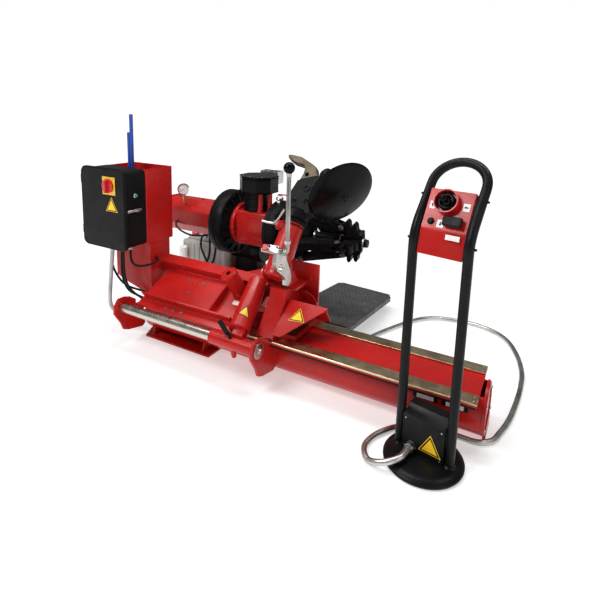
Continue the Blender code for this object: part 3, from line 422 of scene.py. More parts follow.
def length_of(points):
    return sum((b - a).length for a, b in zip(points, points[1:]))


def smooth_route(points, spacing):
    """Evenly spaced points of a Catmull-Rom curve through the route's own points."""
    points = [Vector(p) for p in points]
    ends = [2 * points[0] - points[1]] + points + [2 * points[-1] - points[-2]]
    fine, parts = [], 24
    for a, b, c, d in zip(ends, ends[1:], ends[2:], ends[3:]):
        for k in range(parts):
            t = k / parts
            fine.append(0.5 * (2 * b + (c - a) * t + (2 * a - 5 * b + 4 * c - d) * t * t
                               + (3 * b - a - 3 * c + d) * t ** 3))
    fine.append(points[-1])
    length = length_of(fine)
    count = max(2, round(length / spacing))
    step, walked, found = length / count, 0.0, [fine[0]]
    for a, b in zip(fine, fine[1:]):
        reach = (b - a).length
        while walked + reach >= step * len(found) and len(found) < count:
            found.append(a.lerp(b, (step * len(found) - walked) / reach))
        walked += reach
    return found + [fine[-1]]


def sweep(points, radius, sides=24):
    """A round bar along points; radius is a number or one number for each point."""
    points = [Vector(p) for p in points]
    radii = radius if isinstance(radius, list) else [radius] * len(points)
    shape = bmesh.new()
    tangents = [(b - a).normalized() for a, b in zip(points[:1] + points, points[1:] + points[-1:])]
    across = tangents[0].orthogonal().normalized()
    rings = []
    for place, tangent, size in zip(points, tangents, radii):
        across = (across - tangent * across.dot(tangent)).normalized()
        up = tangent.cross(across)
        rings.append([shape.verts.new(place + size * (a * across + b * up)) for a, b in circle(sides)])
    for one, two in zip(rings, rings[1:]):
        for k in range(sides):
            j = (k + 1) % sides
            shape.faces.new([one[k], one[j], two[j], two[k]])
    shape.faces.new(rings[0])
    shape.faces.new(rings[-1])
    return shape


def ball(centre, radius, sides=32):
    shape = bmesh.new()
    bmesh.ops.create_uvsphere(shape, u_segments=sides, v_segments=sides // 2, radius=radius)
    return at(shape, shift(*centre))


def merge(shapes):
    """One bmesh of several closed shapes."""
    whole = bmesh.new()
    for shape in shapes:
        mesh = bpy.data.meshes.new("part")
        shape.to_mesh(mesh)
        shape.free()
        whole.from_mesh(mesh)
        bpy.data.meshes.remove(mesh)
    return whole


def put(name, shape, mat, body, place=None, stands_for=None, smooth=32, round_off=0.0):
    """Makes one piece from a shape or a list of shapes, places it and lets it ride."""
    if isinstance(shape, list):
        shape = merge(shape)
    if place is not None:
        at(shape, place)
    bmesh.ops.recalc_face_normals(shape, faces=shape.faces)
    mesh = bpy.data.meshes.new(name)
    shape.to_mesh(mesh)
    shape.free()
    mesh.materials.append(MAT[mat])
    mesh.shade_smooth()
    mesh.set_sharp_from_angle(angle=math.radians(smooth))
    made = bpy.data.objects.new(name, mesh)
    bpy.context.scene.collection.objects.link(made)
    if round_off:
        rounded(made, round_off)
    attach(made, body)
    if stands_for:
        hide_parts(stands_for)
    return made


def rounded(made, width):
    bevel = made.modifiers.new("bevel", "BEVEL")
    bevel.width = width
    bevel.segments = 2
    bevel.limit_method = "ANGLE"
    bevel.angle_limit = math.radians(38)
    bevel.harden_normals = True
    bevel.use_clamp_overlap = True


def polish(node, mat, width):
    """The CAD node again, with its split faces joined and its edges rounded."""
    shape = bmesh.new()
    shape.from_mesh(NODES[node].data)
    bmesh.ops.remove_doubles(shape, verts=shape.verts, dist=0.00002)
    bmesh.ops.dissolve_limit(shape, angle_limit=math.radians(0.6), verts=shape.verts, edges=shape.edges)
    put(node + "_look", shape, mat, BODY_OF[node], None, node, round_off=width)


def bolt(place, axis, radius=0.008, height=0.006, washer=True, sides=6):
    """A bolt head with a chamfer on a washer, standing on a surface."""
    r, h = radius, height
    head = [(0, 0), (r, 0), (r, h * 0.8), (r * 0.86, h), (r * 0.5, h), (r * 0.46, h * 0.7), (0, h * 0.7)]
    shapes = [turned(head, sides)]
    if washer:
        ring = [(0, -0.0004), (r * 1.45, -0.0004), (r * 1.45, 0.0012), (r * 1.38, 0.0016), (0, 0.0016)]
        shapes.append(turned(ring, 24))
    return at(merge(shapes), along(place, axis) @ spin(17, "Z"))


def screw(place, axis, radius=0.0045, height=0.003, sides=6):
    """A small head without a washer."""
    return bolt(place, axis, radius, height, False, sides)


def weld(points, radius=0.0035):
    """A rippled weld bead along a line of points."""
    route = smooth_route(points, 0.0022)
    ripple = [0.86 + 0.16 * math.sin(k * 1.9) + 0.1 * noise.noise(p * 140) for k, p in enumerate(route)]
    return sweep(route, [radius * r for r in ripple], 8)


def box(x, y, wide, tall):
    """A rectangle from its lower left corner."""
    return [(x, y), (x + wide, y), (x + wide, y + tall), (x, y + tall)]


def label(name, outline, place, body, mat="white", thick=0.0006):
    put(name, prism(outline, 0, thick), mat, body, place)


SIGN = (("_rim", 1.0, "yellow"), ("_edge", 0.9, "print_black"), ("", 0.7, "yellow"))


def triangle(name, place, size, body):
    """Plain yellow triangle with a black border, without a sign on it."""
    tall = size * math.sqrt(3) / 2
    corners = [(-size / 2, -tall / 3), (size / 2, -tall / 3), (0, tall * 2 / 3)]
    for (part, scale, mat), low, thick in zip(SIGN, (0, 0.0005, 0.0008), (0.0005, 0.0003, 0.0003)):
        outline = [(x * scale, y * scale) for x, y in corners]
        label(name + part, outline, place @ shift(0, 0, low), body, mat, thick)


# ---------------------------------------------------------------- the hose of the control stand
HOSE_R = 0.0125
HOSE_ROOM = (1.2328, -0.71, 0.0129)  # greatest x and least y and z of the hose, inside the CAD hose


def control_hose():
    """Corrugated hose: gland, loop in front, floor behind the bed, into the rear of the bed tube."""
    z = HOSE_R + 0.001
    gland, near = ((-0.041, y, 0.052) for y in (-0.045, -0.1))
    route = [*(MACHINE.inverted() @ STAND @ Vector(p) for p in (gland, near)), (1.502, -0.39, 0.036),
             (1.44, -0.385, z), (1.402, -0.335, z), (1.412, -0.25, z), (1.478, -0.148, z), (1.6, -0.082, z),
             (1.715, -0.078, z), (1.79, -0.07, z), (1.834, -0.02, z), (1.882, 0.2, z), (1.895, 0.56, z),
             (1.815, 0.86, z), (1.69, 0.985, z), (1.5, 1.01, z), (1.31, 0.92, z), (1.16, 0.64, z),
             (1.05, 0.33, z), (0.995, 0.17, 0.02), (0.98, 0.125, 0.042), (0.98, 0.0893, 0.0635)]
    path = smooth_route([MACHINE @ Vector(p) for p in route], 0.065)
    right, front, floor = HOSE_ROOM
    fine = [Vector((min(p.x, right), max(p.y, front), max(p.z, floor))) for p in smooth_route(path, 0.003)]
    radii = [HOSE_R if k % 2 else 0.0112 for k in range(len(fine))]
    made = put("hose", sweep(fine, radii, 14), "hose", "base", None, "control_hose", 80)


# ---------------------------------------------------------------- bed and foot
def bed_details():
    for k, x in enumerate((1.519, 1.635)):
        for name, low, high, lift, mat in (("tube_label", (0, 0), (0.1, 0.022), 0.0002, "print_black"),
                                           ("tube_label_print", (0.016, 0.003), (0.084, 0.019), 0.0007,
                                            "white")):
            put(f"{name}_{k}", wrapped(low, high, TUBE_R + lift, 0.17), mat, "base", TUBE @ shift(x, 0, 0))
    screws = [screw((x, y, 0.2211), (0, 0, 1), 0.0048, 0.0018, 24) for x in (0.62, 1.755)
              for y in (-0.14, -0.106, 0.106, 0.14)]
    put("rail_screws", screws, "steel", "base", MACHINE)
    # A thin black strip under the deck's front edge: painted shade of the deck's overhang, not a real part.
    under = block((0.612, -0.1535, 0.1945), (1.768, -0.1475, 0.2043), 0.001)
    put("deck_overhang_shade", under, "print_black", "base", MACHINE)
    edge = weld([(x, -0.1165, 0.2042) for x in (0.61, 0.9, 1.3, 1.765)], 0.0028)
    put("deck_weld", edge, "paint_red", "base", MACHINE)
    rim = turned([(0.088, 0.0102), (0.104, 0.0102), (0.104, 0.0132), (0.1, 0.0142), (0.088, 0.0142)], 64, "X")
    put("end_ring", rim, "paint_red", "base", TUBE @ shift(1.7852, 0, 0), smooth=40)
    ends = [bolt((1.7994, y, z), (1, 0, 0), 0.0045, 0.004) for y, z in circle(6, 30, 0.096)]
    put("end_bolts", ends, "zinc", "base", TUBE)
    feet = [weld([(x, *around(TUBE_R + 0.0005, 0.55 - math.pi + 0.16 * k)) for k in range(5)], 0.003)
            for x in (0.045, 0.057, 0.4, 0.412)]
    put("foot_welds", feet, "paint_red", "base", MACHINE)
    disc = [(0, 0.0062), (0.03, 0.0062), (0.034, 0.0058), (0.0368, 0.004), (0.0368, 0.001), (0, 0.001)]
    put("bar_end_cap", turned(disc, 64, "X"), "steel", "base", MACHINE @ shift(0.858, BAR_Y, BAR_Z))
    put("bar_end_bolt", bolt((0.8642, BAR_Y, BAR_Z), (1, 0, 0), 0.01, 0.008), "zinc", "base", MACHINE)
    side = [weld([(x, *around(TUBE_R + 0.002, 2.45 + 0.12 * k)) for k in range(10)], 0.0028)
            for x in (0.8442, 0.858)]
    put("bracket_welds", side, "paint_red", "base", MACHINE)


def around(radius, angle):
    """The y and z of a point on the bed tube."""
    return radius * math.cos(angle), TUBE_Z + radius * math.sin(angle)


def wrapped(low, high, radius, angle):
    """A thin label bent round the bed tube; x runs along the tube and y round it."""
    (x0, y0), (x1, y1) = low, high
    shape = bmesh.new()
    rows, parts = [], 8
    for k in range(parts + 1):
        arc = angle + (y0 + (y1 - y0) * k / parts) / radius
        rows.append([shape.verts.new((x, -r * math.cos(arc), r * math.sin(arc)))
                     for r in (radius, radius + 0.0005) for x in (x0, x1)])
    for one, two in zip(rows, rows[1:]):
        for a, b in ((0, 1), (2, 3), (0, 2), (1, 3)):
            shape.faces.new([one[a], one[b], two[b], two[a]])
    for row in (rows[0], rows[-1]):
        shape.faces.new([row[k] for k in (0, 1, 3, 2)])
    return shape


# ---------------------------------------------------------------- cabinet, bin and cables
def cabinet_details():
    plate = block((-0.047, -0.0107, -0.047), (0.047, -0.0098, 0.047), 0.0003)
    put("isolator_plate", plate, "yellow", "door", DOOR @ shift(0.211, 0, 0.333))
    corner = [screw((x, -0.0107, z), (0, -1, 0), 0.0038, 0.0012, 20) for x in (-0.039, 0.039)
              for z in (-0.039, 0.039)]
    put("isolator_screws", corner, "zinc", "door", DOOR @ shift(0.211, 0, 0.333))
    triangle("cabinet_sign", MACHINE @ shift(-0.066, -0.2461, 0.755) @ spin(90, "X"), 0.088, "door")
    ring, corner_r = [], 0.036
    for k, (x, z) in enumerate(((0.279, 0.379), (0.036, 0.379), (0.036, 0.036), (0.279, 0.036))):
        ring += [(x + a, -0.0098, z + b) for a, b in circle(32, 90 * k, corner_r)[:9]]
    put("door_rim", sweep(ring + ring[:2], 0.0011, 8), "plastic_black", "door", DOOR)
    hinges = []
    for z in (0.05, 0.33):
        hinges += [rod((-0.016, 0.003, z), (-0.016, 0.003, z + 0.045), 0.005, 20, 0.001),
                   block((-0.015, 0.001, z + 0.004), (-0.0098, 0.006, z + 0.041), 0.0006, 1)]
    put("door_hinges", hinges, "gloss_black", "door", DOOR)
    lamp_seat = MACHINE @ shift(0.02, -0.166, 0.812)
    bezel = turned([(0, 0), (0.0125, 0), (0.0125, 0.003), (0.0105, 0.0045), (0, 0.0045)], 32, "X")
    put("lamp_bezel", bezel, "chrome", "base", lamp_seat)
    dome = turned([(0, 0.004), (0.0095, 0.004), (0.009, 0.0085), (0.006, 0.0112), (0, 0.012)], 32, "X")
    put("lamp_lens", dome, "green", "base", lamp_seat)
    glands = []
    for x, y, wide in ((-0.163, -0.17, 0.016), (-0.115, -0.15, 0.0125), (-0.21, -0.135, 0.0125),
                       (-0.085, -0.165, 0.0125), (-0.045, -0.15, 0.0125)):
        nut = [(0, 0), (wide, 0), (wide, -0.01), (wide - 0.002, -0.012), (wide - 0.002, -0.022),
               (wide - 0.004, -0.026), (0, -0.026)]
        glands.append(at(turned(nut, 6), shift(x, y, 0.5309)))
    put("cable_glands", glands, "grey_pipe", "base", MACHINE)
    tab = prism([(-0.285, 0.36), (-0.256, 0.345), (-0.256, 0.44), (-0.272, 0.452), (-0.29, 0.43)], -0.02,
                -0.01, "Y", 0.002)
    put("column_tab", tab, "paint_red", "base", MACHINE)
    seam = [weld([(-0.255 + 0.0914 * k, -0.0705, 0.5292) for k in range(4)], 0.003),
            weld([(0.0205, y, 0.5292) for y in (-0.06, 0, 0.07)], 0.003)]
    put("column_weld", seam, "paint_red", "base", MACHINE)
    lip = [block((*low, 0.9416), (*high, 0.944), 0.0008, 1)
           for low, high in (((-0.275, -0.0955), (0.025, -0.0915)), ((-0.275, 0.096), (0.025, 0.1)),
                             ((-0.275, -0.0955), (-0.271, 0.1)), ((0.021, -0.0955), (0.025, 0.1)))]
    put("bin_lip", lip, "paint_red", "base", MACHINE)


CABLE = 0.012  # diameter of an electric cable


def wires():
    """Cables and pipe under the cabinet, hoses of the oil tank and cable of the chuck motor."""
    routes = {"pipe_grey": ((-0.163, -0.17, 0.506), (-0.185, -0.172, 0.34), (-0.2, -0.172, 0.19),
                            (-0.19, -0.165, 0.138), (-0.15, -0.15, 0.117), (-0.08, -0.135, 0.118),
                            (-0.0205, -0.13, 0.12)), "cable_a": ((-0.115, -0.15, 0.506),
                                                                 (-0.118, -0.152, 0.44),
                                                                 (-0.112, -0.154, 0.34),
                                                                 (-0.085, -0.14, 0.262),
                                                                 (-0.03, -0.106, 0.222),
                                                                 (0.028, -0.08, 0.203)),
              "cable_b": ((-0.21, -0.135, 0.506), (-0.214, -0.138, 0.45), (-0.196, -0.14, 0.36),
                          (-0.13, -0.125, 0.28), (-0.04, -0.088, 0.248), (0.045, -0.058, 0.2205)),
              "cable_d": ((-0.085, -0.165, 0.506), (-0.084, -0.168, 0.42), (-0.074, -0.166, 0.33),
                          (-0.05, -0.15, 0.27), (-0.01, -0.122, 0.226), (0.02, -0.1, 0.19)),
              "cable_c": ((-0.045, -0.15, 0.506), (-0.044, -0.154, 0.47), (-0.024, -0.156, 0.43),
                          (0.01, -0.14, 0.418), (0.047, -0.105, 0.424), (0.055, -0.055, 0.436),
                          (0.0205, -0.03, 0.44))}
    for name, points in routes.items():
        cable(name, points, *((0.022, "grey_pipe") if name == "pipe_grey" else (CABLE, "rubber")))
    oil = {"oil_hose_a": ((-0.16, 0.76, 0.318), (-0.158, 0.752, 0.368), (-0.15, 0.722, 0.392),
                          (-0.137, 0.69, 0.35), (-0.115, 0.662, 0.285), (-0.06, 0.58, 0.258),
                          (0.0, 0.48, 0.252), (0.06, 0.34, 0.248), (0.12, 0.21, 0.24), (0.175, 0.12, 0.232),
                          (0.2, 0.05, 0.223)), "oil_hose_b": ((-0.21, 0.76, 0.318), (-0.208, 0.75, 0.372),
                                                              (-0.2, 0.718, 0.396), (-0.187, 0.686, 0.352),
                                                              (-0.165, 0.66, 0.28), (-0.11, 0.58, 0.252),
                                                              (-0.05, 0.48, 0.246), (0.01, 0.34, 0.243),
                                                              (0.07, 0.21, 0.238), (0.122, 0.12, 0.236),
                                                              (0.15, 0.045, 0.225)),
           "oil_hose_c": ((-0.26, 0.76, 0.318), (-0.262, 0.738, 0.35), (-0.262, 0.69, 0.34),
                          (-0.25, 0.665, 0.28), (-0.2, 0.655, 0.2), (-0.15, 0.662, 0.13),
                          (-0.14, 0.675, 0.092))}
    for name, points in oil.items():
        cable(name, points, 0.015, "rubber")
    ends = [p[:2] for p in oil.values()] + [oil[name][:-3:-1] for name in ("oil_hose_a", "oil_hose_b")]
    ends = [rod(a, Vector(a) + (Vector(b) - Vector(a)).normalized() * 0.022, 0.0105, 6) for a, b in ends]
    put("oil_fittings", ends, "zinc", "base", MACHINE)
    cable("motor_cable", ((-0.185, 0.356, 0.545), (-0.175, 0.336, 0.52), (-0.12, 0.325, 0.492),
                          (-0.04, 0.322, 0.478), (0.04, 0.328, 0.484), (0.1, 0.34, 0.497),
                          (0.1295, 0.345, 0.503)), CABLE, "rubber", "arm")


def cable(name, points, thick, mat, body="base"):
    """A round cable, pipe or hose through points of the machine."""
    path = smooth_route([MACHINE @ Vector(p) for p in points], 0.018)
    made = put(name, sweep(smooth_route(path, 0.006), thick / 2, 16), mat, body, smooth=60)


def oil_unit_details():
    ribs = [block((-0.445 + 0.047 * k, 0.6955, 0.125), (-0.436 + 0.047 * k, 0.7015, 0.272), 0.001)
            for k in range(8)]
    ribs += [block((-0.066, 0.722 + 0.042 * k, 0.125), (-0.0605, 0.731 + 0.042 * k, 0.272), 0.001)
             for k in range(4)]
    put("tank_ribs", ribs, "tank_grey", "base", MACHINE)
    cap = turned([(0, 0), (0.026, 0), (0.028, 0.004), (0.028, 0.016), (0.022, 0.022), (0, 0.022)], 12)
    put("tank_cap", cap, "knob_red", "base", MACHINE @ shift(-0.386, 0.765, 0.3248))
    can = turned([(0, 0), (0.026, 0), (0.03, 0.005), (0.03, 0.085), (0.024, 0.092), (0, 0.092)], 40)
    put("oil_filter", can, "white", "base", MACHINE @ shift(-0.425, 0.672, 0.16))
    put("filter_arm", block((-0.44, 0.672, 0.195), (-0.41, 0.703, 0.225), 0.002), "zinc", "base", MACHINE)
    fins = [band(0.09, 0.0975, h, h + 0.0028, axis="X") for h in [-0.045 + 0.0125 * k for k in range(13)]]
    put("motor_fins", fins, "cast_black", "base", PUMP, smooth=40)
    fan = turned([(0, 0.122), (0.099, 0.122), (0.0995, 0.126), (0.0995, 0.181), (0.09, 0.191), (0, 0.191)],
                 64, "X")
    put("motor_fan_cover", fan, "gloss_black", "base", PUMP, smooth=40)
    put("motor_terminal_box", block((-0.01, 0.805, 0.374), (0.085, 0.895, 0.425), 0.006), "gloss_black",
        "base", MACHINE)


# ---------------------------------------------------------------- chuck arm and drive
def arm_details():
    nuts = [bolt((x, s, 0.0121), (0, 0, 1), 0.0062, 0.006)
            for x, s in ((0.257, 0.258), (0.306, 0.258), (0.359, 0.258), (0.311, 0.185), (0.257, 0.06),
                         (0.309, 0.06), (0.363, 0.06))]
    put("plate_nuts", nuts, "bolt_grey", "arm", SLOPE)
    seams = [weld([(x, 0.0845, 0.0125) for x in (0.12, 0.3, 0.5, 0.655)], 0.0026),
             weld([(0.128, 0.3095, 0.0125), (0.4, 0.3095, 0.0125), (0.734, 0.3095, 0.0125)], 0.003),
             weld([(0.5265, 0.095, 0.0125), (0.5265, 0.2, 0.0125), (0.5265, 0.305, 0.0125)], 0.0026),
             weld([(0.604, 0.036, 0.0122), (0.66, 0.036, 0.0122), (0.7, 0.036, 0.0122)], 0.0026)]
    put("plate_welds", seams, "paint_red", "arm", SLOPE)
    label("plate_label", box(0, 0, 0.04, 0.024), SLOPE @ shift(0.59, 0.188, 0.0121), "arm")
    brace_sign()
    rim = turned([(0.0402, 0.128), (0.0445, 0.128), (0.0445, 0.146), (0.0425, 0.149), (0.0402, 0.149)], 64)
    put("cylinder_rim", rim, "paint_red", "arm", CYLINDER)
    put("cylinder_screw", bolt((0, 0, 0.15), (0, 0, 1), 0.009, 0.006), "gloss_black", "arm", CYLINDER)


def brace_sign():
    """The triangle on the round brace, bent round it; each layer has its own bending radius."""
    low, top = Vector((0.733, 0.046, 0.036)), Vector((0.679, 0.325, 0.05))
    across, upward = Vector((1, 0, 0)), (top - low).normalized()
    turn = Matrix((across, upward, across.cross(upward))).transposed().to_4x4()
    place = SLOPE @ shift(*low.lerp(top, 0.26)) @ turn @ spin(22, "Y")
    for (part, scale, mat), lift in zip(SIGN, (0.0502, 0.0506, 0.0509)):
        shape = prism([(x * scale, y * scale) for x, y in ((-0.036, -0.0208), (0.036, -0.0208), (0, 0.0416))],
                      0, 0.0005)
        bmesh.ops.subdivide_edges(shape, edges=list(shape.edges), cuts=7, use_grid_fill=True)
        for v in shape.verts:
            reach, angle = lift + v.co.z, v.co.x / lift
            v.co = (reach * math.sin(angle), v.co.y, reach * math.cos(angle))
        put("brace_sign" + part, shape, mat, "arm", place)


def drive_details():
    housing = [(0, 0.13), (0.176, 0.13), (0.186, 0.132), (0.196, 0.139), (0.2, 0.146), (0.2, 0.176),
               (0.1965, 0.179), (0.1965, 0.183), (0.2, 0.186), (0.2, 0.222), (0.196, 0.229), (0.19, 0.232),
               (0.184, 0.23), (0.178, 0.226), (0.165, 0.232), (0.14, 0.247), (0.135, 0.2496), (0, 0.2496)]
    side = [(0.23, 0.182), (0.2245, 0.176), (0.242, 0.14), (0.2496, 0.14), (0.2475, 0.17), (0.238, 0.186)]
    ribs = [at(prism(side, -0.0035, 0.0035, "Y", 0.001), spin(22.5 * k + 8, "X")) for k in range(16)]
    put("gear_housing_look", [turned(housing, 96, "X")] + ribs, "cast_black", "arm", DRIVE, "gear_housing",
        40)
    bolts = [bolt((0.2315, y, z), (1, 0, 0), 0.007, 0.006) for y, z in circle(16, 19, 0.189)]
    put("housing_bolts", bolts, "gloss_black", "arm", DRIVE)

    disc = turned([(0, 0.25), (0.1285, 0.25), (0.13, 0.252), (0.13, 0.274), (0.127, 0.277), (0, 0.277)], 96,
                  "X")
    body = block((0.274, -0.105, -0.103), (0.5036, 0.105, 0.103), 0.016, 4)
    put("gearbox_look", [disc, body], "paint_red", "arm", DRIVE, "gearbox", 50)
    spots = [(x, z) for x in (0.296, 0.35, 0.404, 0.458, 0.484) for z in (-0.085, 0.085)]
    spots += [(x, z) for x in (0.296, 0.484) for z in (-0.03, 0.03)]
    bolts = [bolt((x, -0.1052, z), (0, -1, 0), 0.0034, 0.003) for x, z in spots]
    bolts += [bolt((0.2772, y, z), (1, 0, 0), 0.0055, 0.005) for y, z in circle(10, 12, 0.118)
              if max(abs(y), abs(z)) > 0.108]
    put("gearbox_bolts", bolts, "paint_red", "arm", DRIVE)
    pad = block((0.308, -0.1075, -0.074), (0.472, -0.1045, 0.074), 0.0018, 2)
    put("gearbox_pad", pad, "paint_red", "arm", DRIVE)

    ring = [(0, 0.504), (0.166, 0.504), (0.172, 0.51), (0.172, 0.532), (0.169, 0.534), (0.169, 0.537),
            (0.172, 0.539), (0.172, 0.572), (0.168, 0.579), (0.155, 0.59), (0.075, 0.59), (0.075, 0.605),
            (0, 0.605)]
    post = rod((0.54, -0.03, 0.16), (0.54, -0.03, 0.212), 0.015, 32)
    put("spindle_bearing_look", [turned(ring, 96, "X"), post], "cast_black", "arm", DRIVE, "spindle_bearing",
        40)
    bolts = [bolt((0.5902, y, z), (1, 0, 0), 0.0075, 0.006) for y, z in circle(12, 10, 0.12)]
    put("bearing_bolts", bolts, "gloss_black", "arm", DRIVE)

    valve = [band(0.0152, 0.019, 0.168, 0.18, 6), band(0.0152, 0.019, 0.201, 0.2105, 6),
             turned([(0.0152, 0.18), (0.021, 0.184), (0.0235, 0.19), (0.021, 0.197), (0.0152, 0.201)], 32)]
    put("ball_valve", valve, "chrome", "arm", DRIVE @ shift(0.54, -0.03, 0), smooth=40)
    pipe = []
    for x, y in ((0.4415, -0.085), (0.479, -0.04)):
        pipe += [rod((x, y, 0.103), (x, y, 0.2155), 0.0135, 40), rod((x, y, 0.103), (x, y, 0.115), 0.019, 6),
                 rod((x, y, 0.115), (x, y, 0.127), 0.0165, 40, 0.001)]
    put("red_pipes", pipe, "paint_red", "arm", DRIVE, smooth=40)

    flat = math.pi / 8  # turns an eight-sided shape onto one of its sides
    lid = turned([(0, 0.3102), (0.1205, 0.3102), (0.1205, 0.314), (0.118, 0.316), (0, 0.316)], 8, start=flat)
    put("motor_box_lid", lid, "gloss_black", "arm", DRUM, smooth=20)
    screws = [screw((x, y, 0.316), (0, 0, 1), 0.0045, 0.002, 20) for x, y in circle(8, 0, 0.095)]
    put("lid_screws", screws, "zinc", "arm", DRUM)
    hoop = [band(0.116, 0.1192, h, h + 0.008, 8, start=flat) for h in (0.218, 0.296)]
    put("motor_box_bands", hoop, "gloss_black", "arm", DRUM, smooth=20)
    tray = [block(low, high, 0.0006, 1) for low, high in (
        ((0.33, 0.0802, 0.25), (0.456, 0.0822, 0.328)), ((0.33, 0.148, 0.25), (0.456, 0.15, 0.328)),
        ((0.33, 0.081, 0.25), (0.332, 0.149, 0.328)), ((0.454, 0.081, 0.25), (0.456, 0.149, 0.328)),
        ((0.331, 0.081, 0.2505), (0.455, 0.149, 0.2525)))]
    put("drum_tray", tray, "zinc", "arm", DRIVE)
    neck = [band(0.0735, 0.0785, h, h + 0.006) for h in (0.108, 0.13, 0.152, 0.174, 0.196)]
    put("motor_box_rings", neck, "cast_black", "arm", DRIVE @ shift(0.375, -0.027, 0), smooth=40)

    bands = [band(0.1175, 0.1225, h, h + 0.01, 8, "X", flat) for h in (-0.318, 0.112)]
    put("cover_bands", bands, "paint_red", "arm", DRIVE, smooth=20, round_off=0.001)
    screws = [bolt(spin(turn, "X") @ Vector((h, 0, 0.1082)), spin(turn, "X") @ Vector((0, 0, 1)), 0.0055,
                   0.004) for h in (-0.26, -0.06, 0.09) for turn in (-90, -45, 0)]
    put("cover_screws", screws, "gloss_black", "arm", DRIVE)

    gauge = (MACHINE @ shift(-0.138, 0.372, 0.755) @ spin(31, "Z") @ spin(90, "X")
             @ Matrix.Diagonal((1.1, 1.1, 1, 1)))
    case = turned([(0, -0.014), (0.03, -0.014), (0.0315, -0.012), (0.0315, 0.01), (0.0345, 0.011),
                   (0.0345, 0.015), (0.029, 0.0165), (0.0285, 0.0125), (0, 0.0125)], 64)
    put("gauge_case", case, "chrome", "arm", gauge, smooth=40)
    put("gauge_dial", turned([(0, 0.0126), (0.028, 0.0126), (0.028, 0.0134), (0, 0.0134)], 48), "clear_dial",
        "arm", gauge)
    ticks = [at(block((-0.0004, 0.0205 if k % 3 else 0.0185, 0.0134), (0.0004, 0.025, 0.0137)),
                spin(135 - 15 * k, "Z")) for k in range(19)]
    needle = prism([(-0.0012, -0.006), (0.0012, -0.006), (0.0003, 0.021), (-0.0003, 0.021)], 0.0136, 0.0142)
    put("gauge_print", ticks + [at(needle, spin(118, "Z"))], "print_black", "arm", gauge)
    stem = [rod((-0.138, 0.375, 0.714), (-0.138, 0.375, 0.69), 0.0065, 20),
            rod((-0.138, 0.375, 0.703), (-0.138, 0.375, 0.69), 0.01, 6),
            sweep(smooth_route([(-0.138, 0.375, 0.694), (-0.138, 0.38, 0.672), (-0.138, 0.402, 0.652)],
                               0.005), 0.0065, 16)]
    put("gauge_stem", stem, "brass", "arm", MACHINE)


# ---------------------------------------------------------------- chuck
def chuck_details():
    root, tip = Vector((0.672, 0, 0.16)), Vector((0.94, 0, 0.084))  # pins at the two ends of a link
    beam = shift(*root) @ spin(math.degrees(math.atan2(root.z - tip.z, tip.x - root.x)), "Y")
    side = [(0.04, -0.012), (0.11, -0.034), (0.215, -0.03), (0.24, -0.01), (0.225, 0.009), (0.035, 0.011)]
    for k in range(4):
        jaw, link, sector = f"jaw_{k + 1}", f"link_{k + 1}", DRIVE @ spin(12 + 90 * k, "X")
        for name, body, pin, y, radius, height in (("_pin_heads", "chuck", root, 0.0332, 0.0125, 0.008),
                                                   ("_tip_heads", link, tip, 0.0262, 0.011, 0.007)):
            heads = [bolt(pin + Vector((0, s * y, 0)), (0, s, 0), radius, height) for s in (-1, 1)]
            put(jaw + name, heads, "bolt_grey", body, sector)
        pins = [rod((root.x, -0.0385, root.z), (root.x, 0.0385, root.z), 0.01, 24, 0.001),
                screw((0.64, 0, 0.118), (0, 0, 1), 0.0075, 0.006)]
        put(jaw + "_pin", pins, "cast_black", "chuck", sector)
        webs = [at(prism(side, low, low + 0.0024, "Y", 0.0008), beam) for low in (0.0238, -0.0262)]
        end = rod((tip.x, -0.0275, tip.z), (tip.x, 0.0275, tip.z), 0.0085, 24, 0.001)
        put(jaw + "_tip_pin", [end] + webs, "cast_black", link, sector)
    end = [band(0.022, 0.0275, h, h + 0.008, 48, "X") for h in (0.765, 0.925, 1.06)]
    put("chuck_rod_fittings", end, "zinc", "chuck", DRIVE, smooth=40)


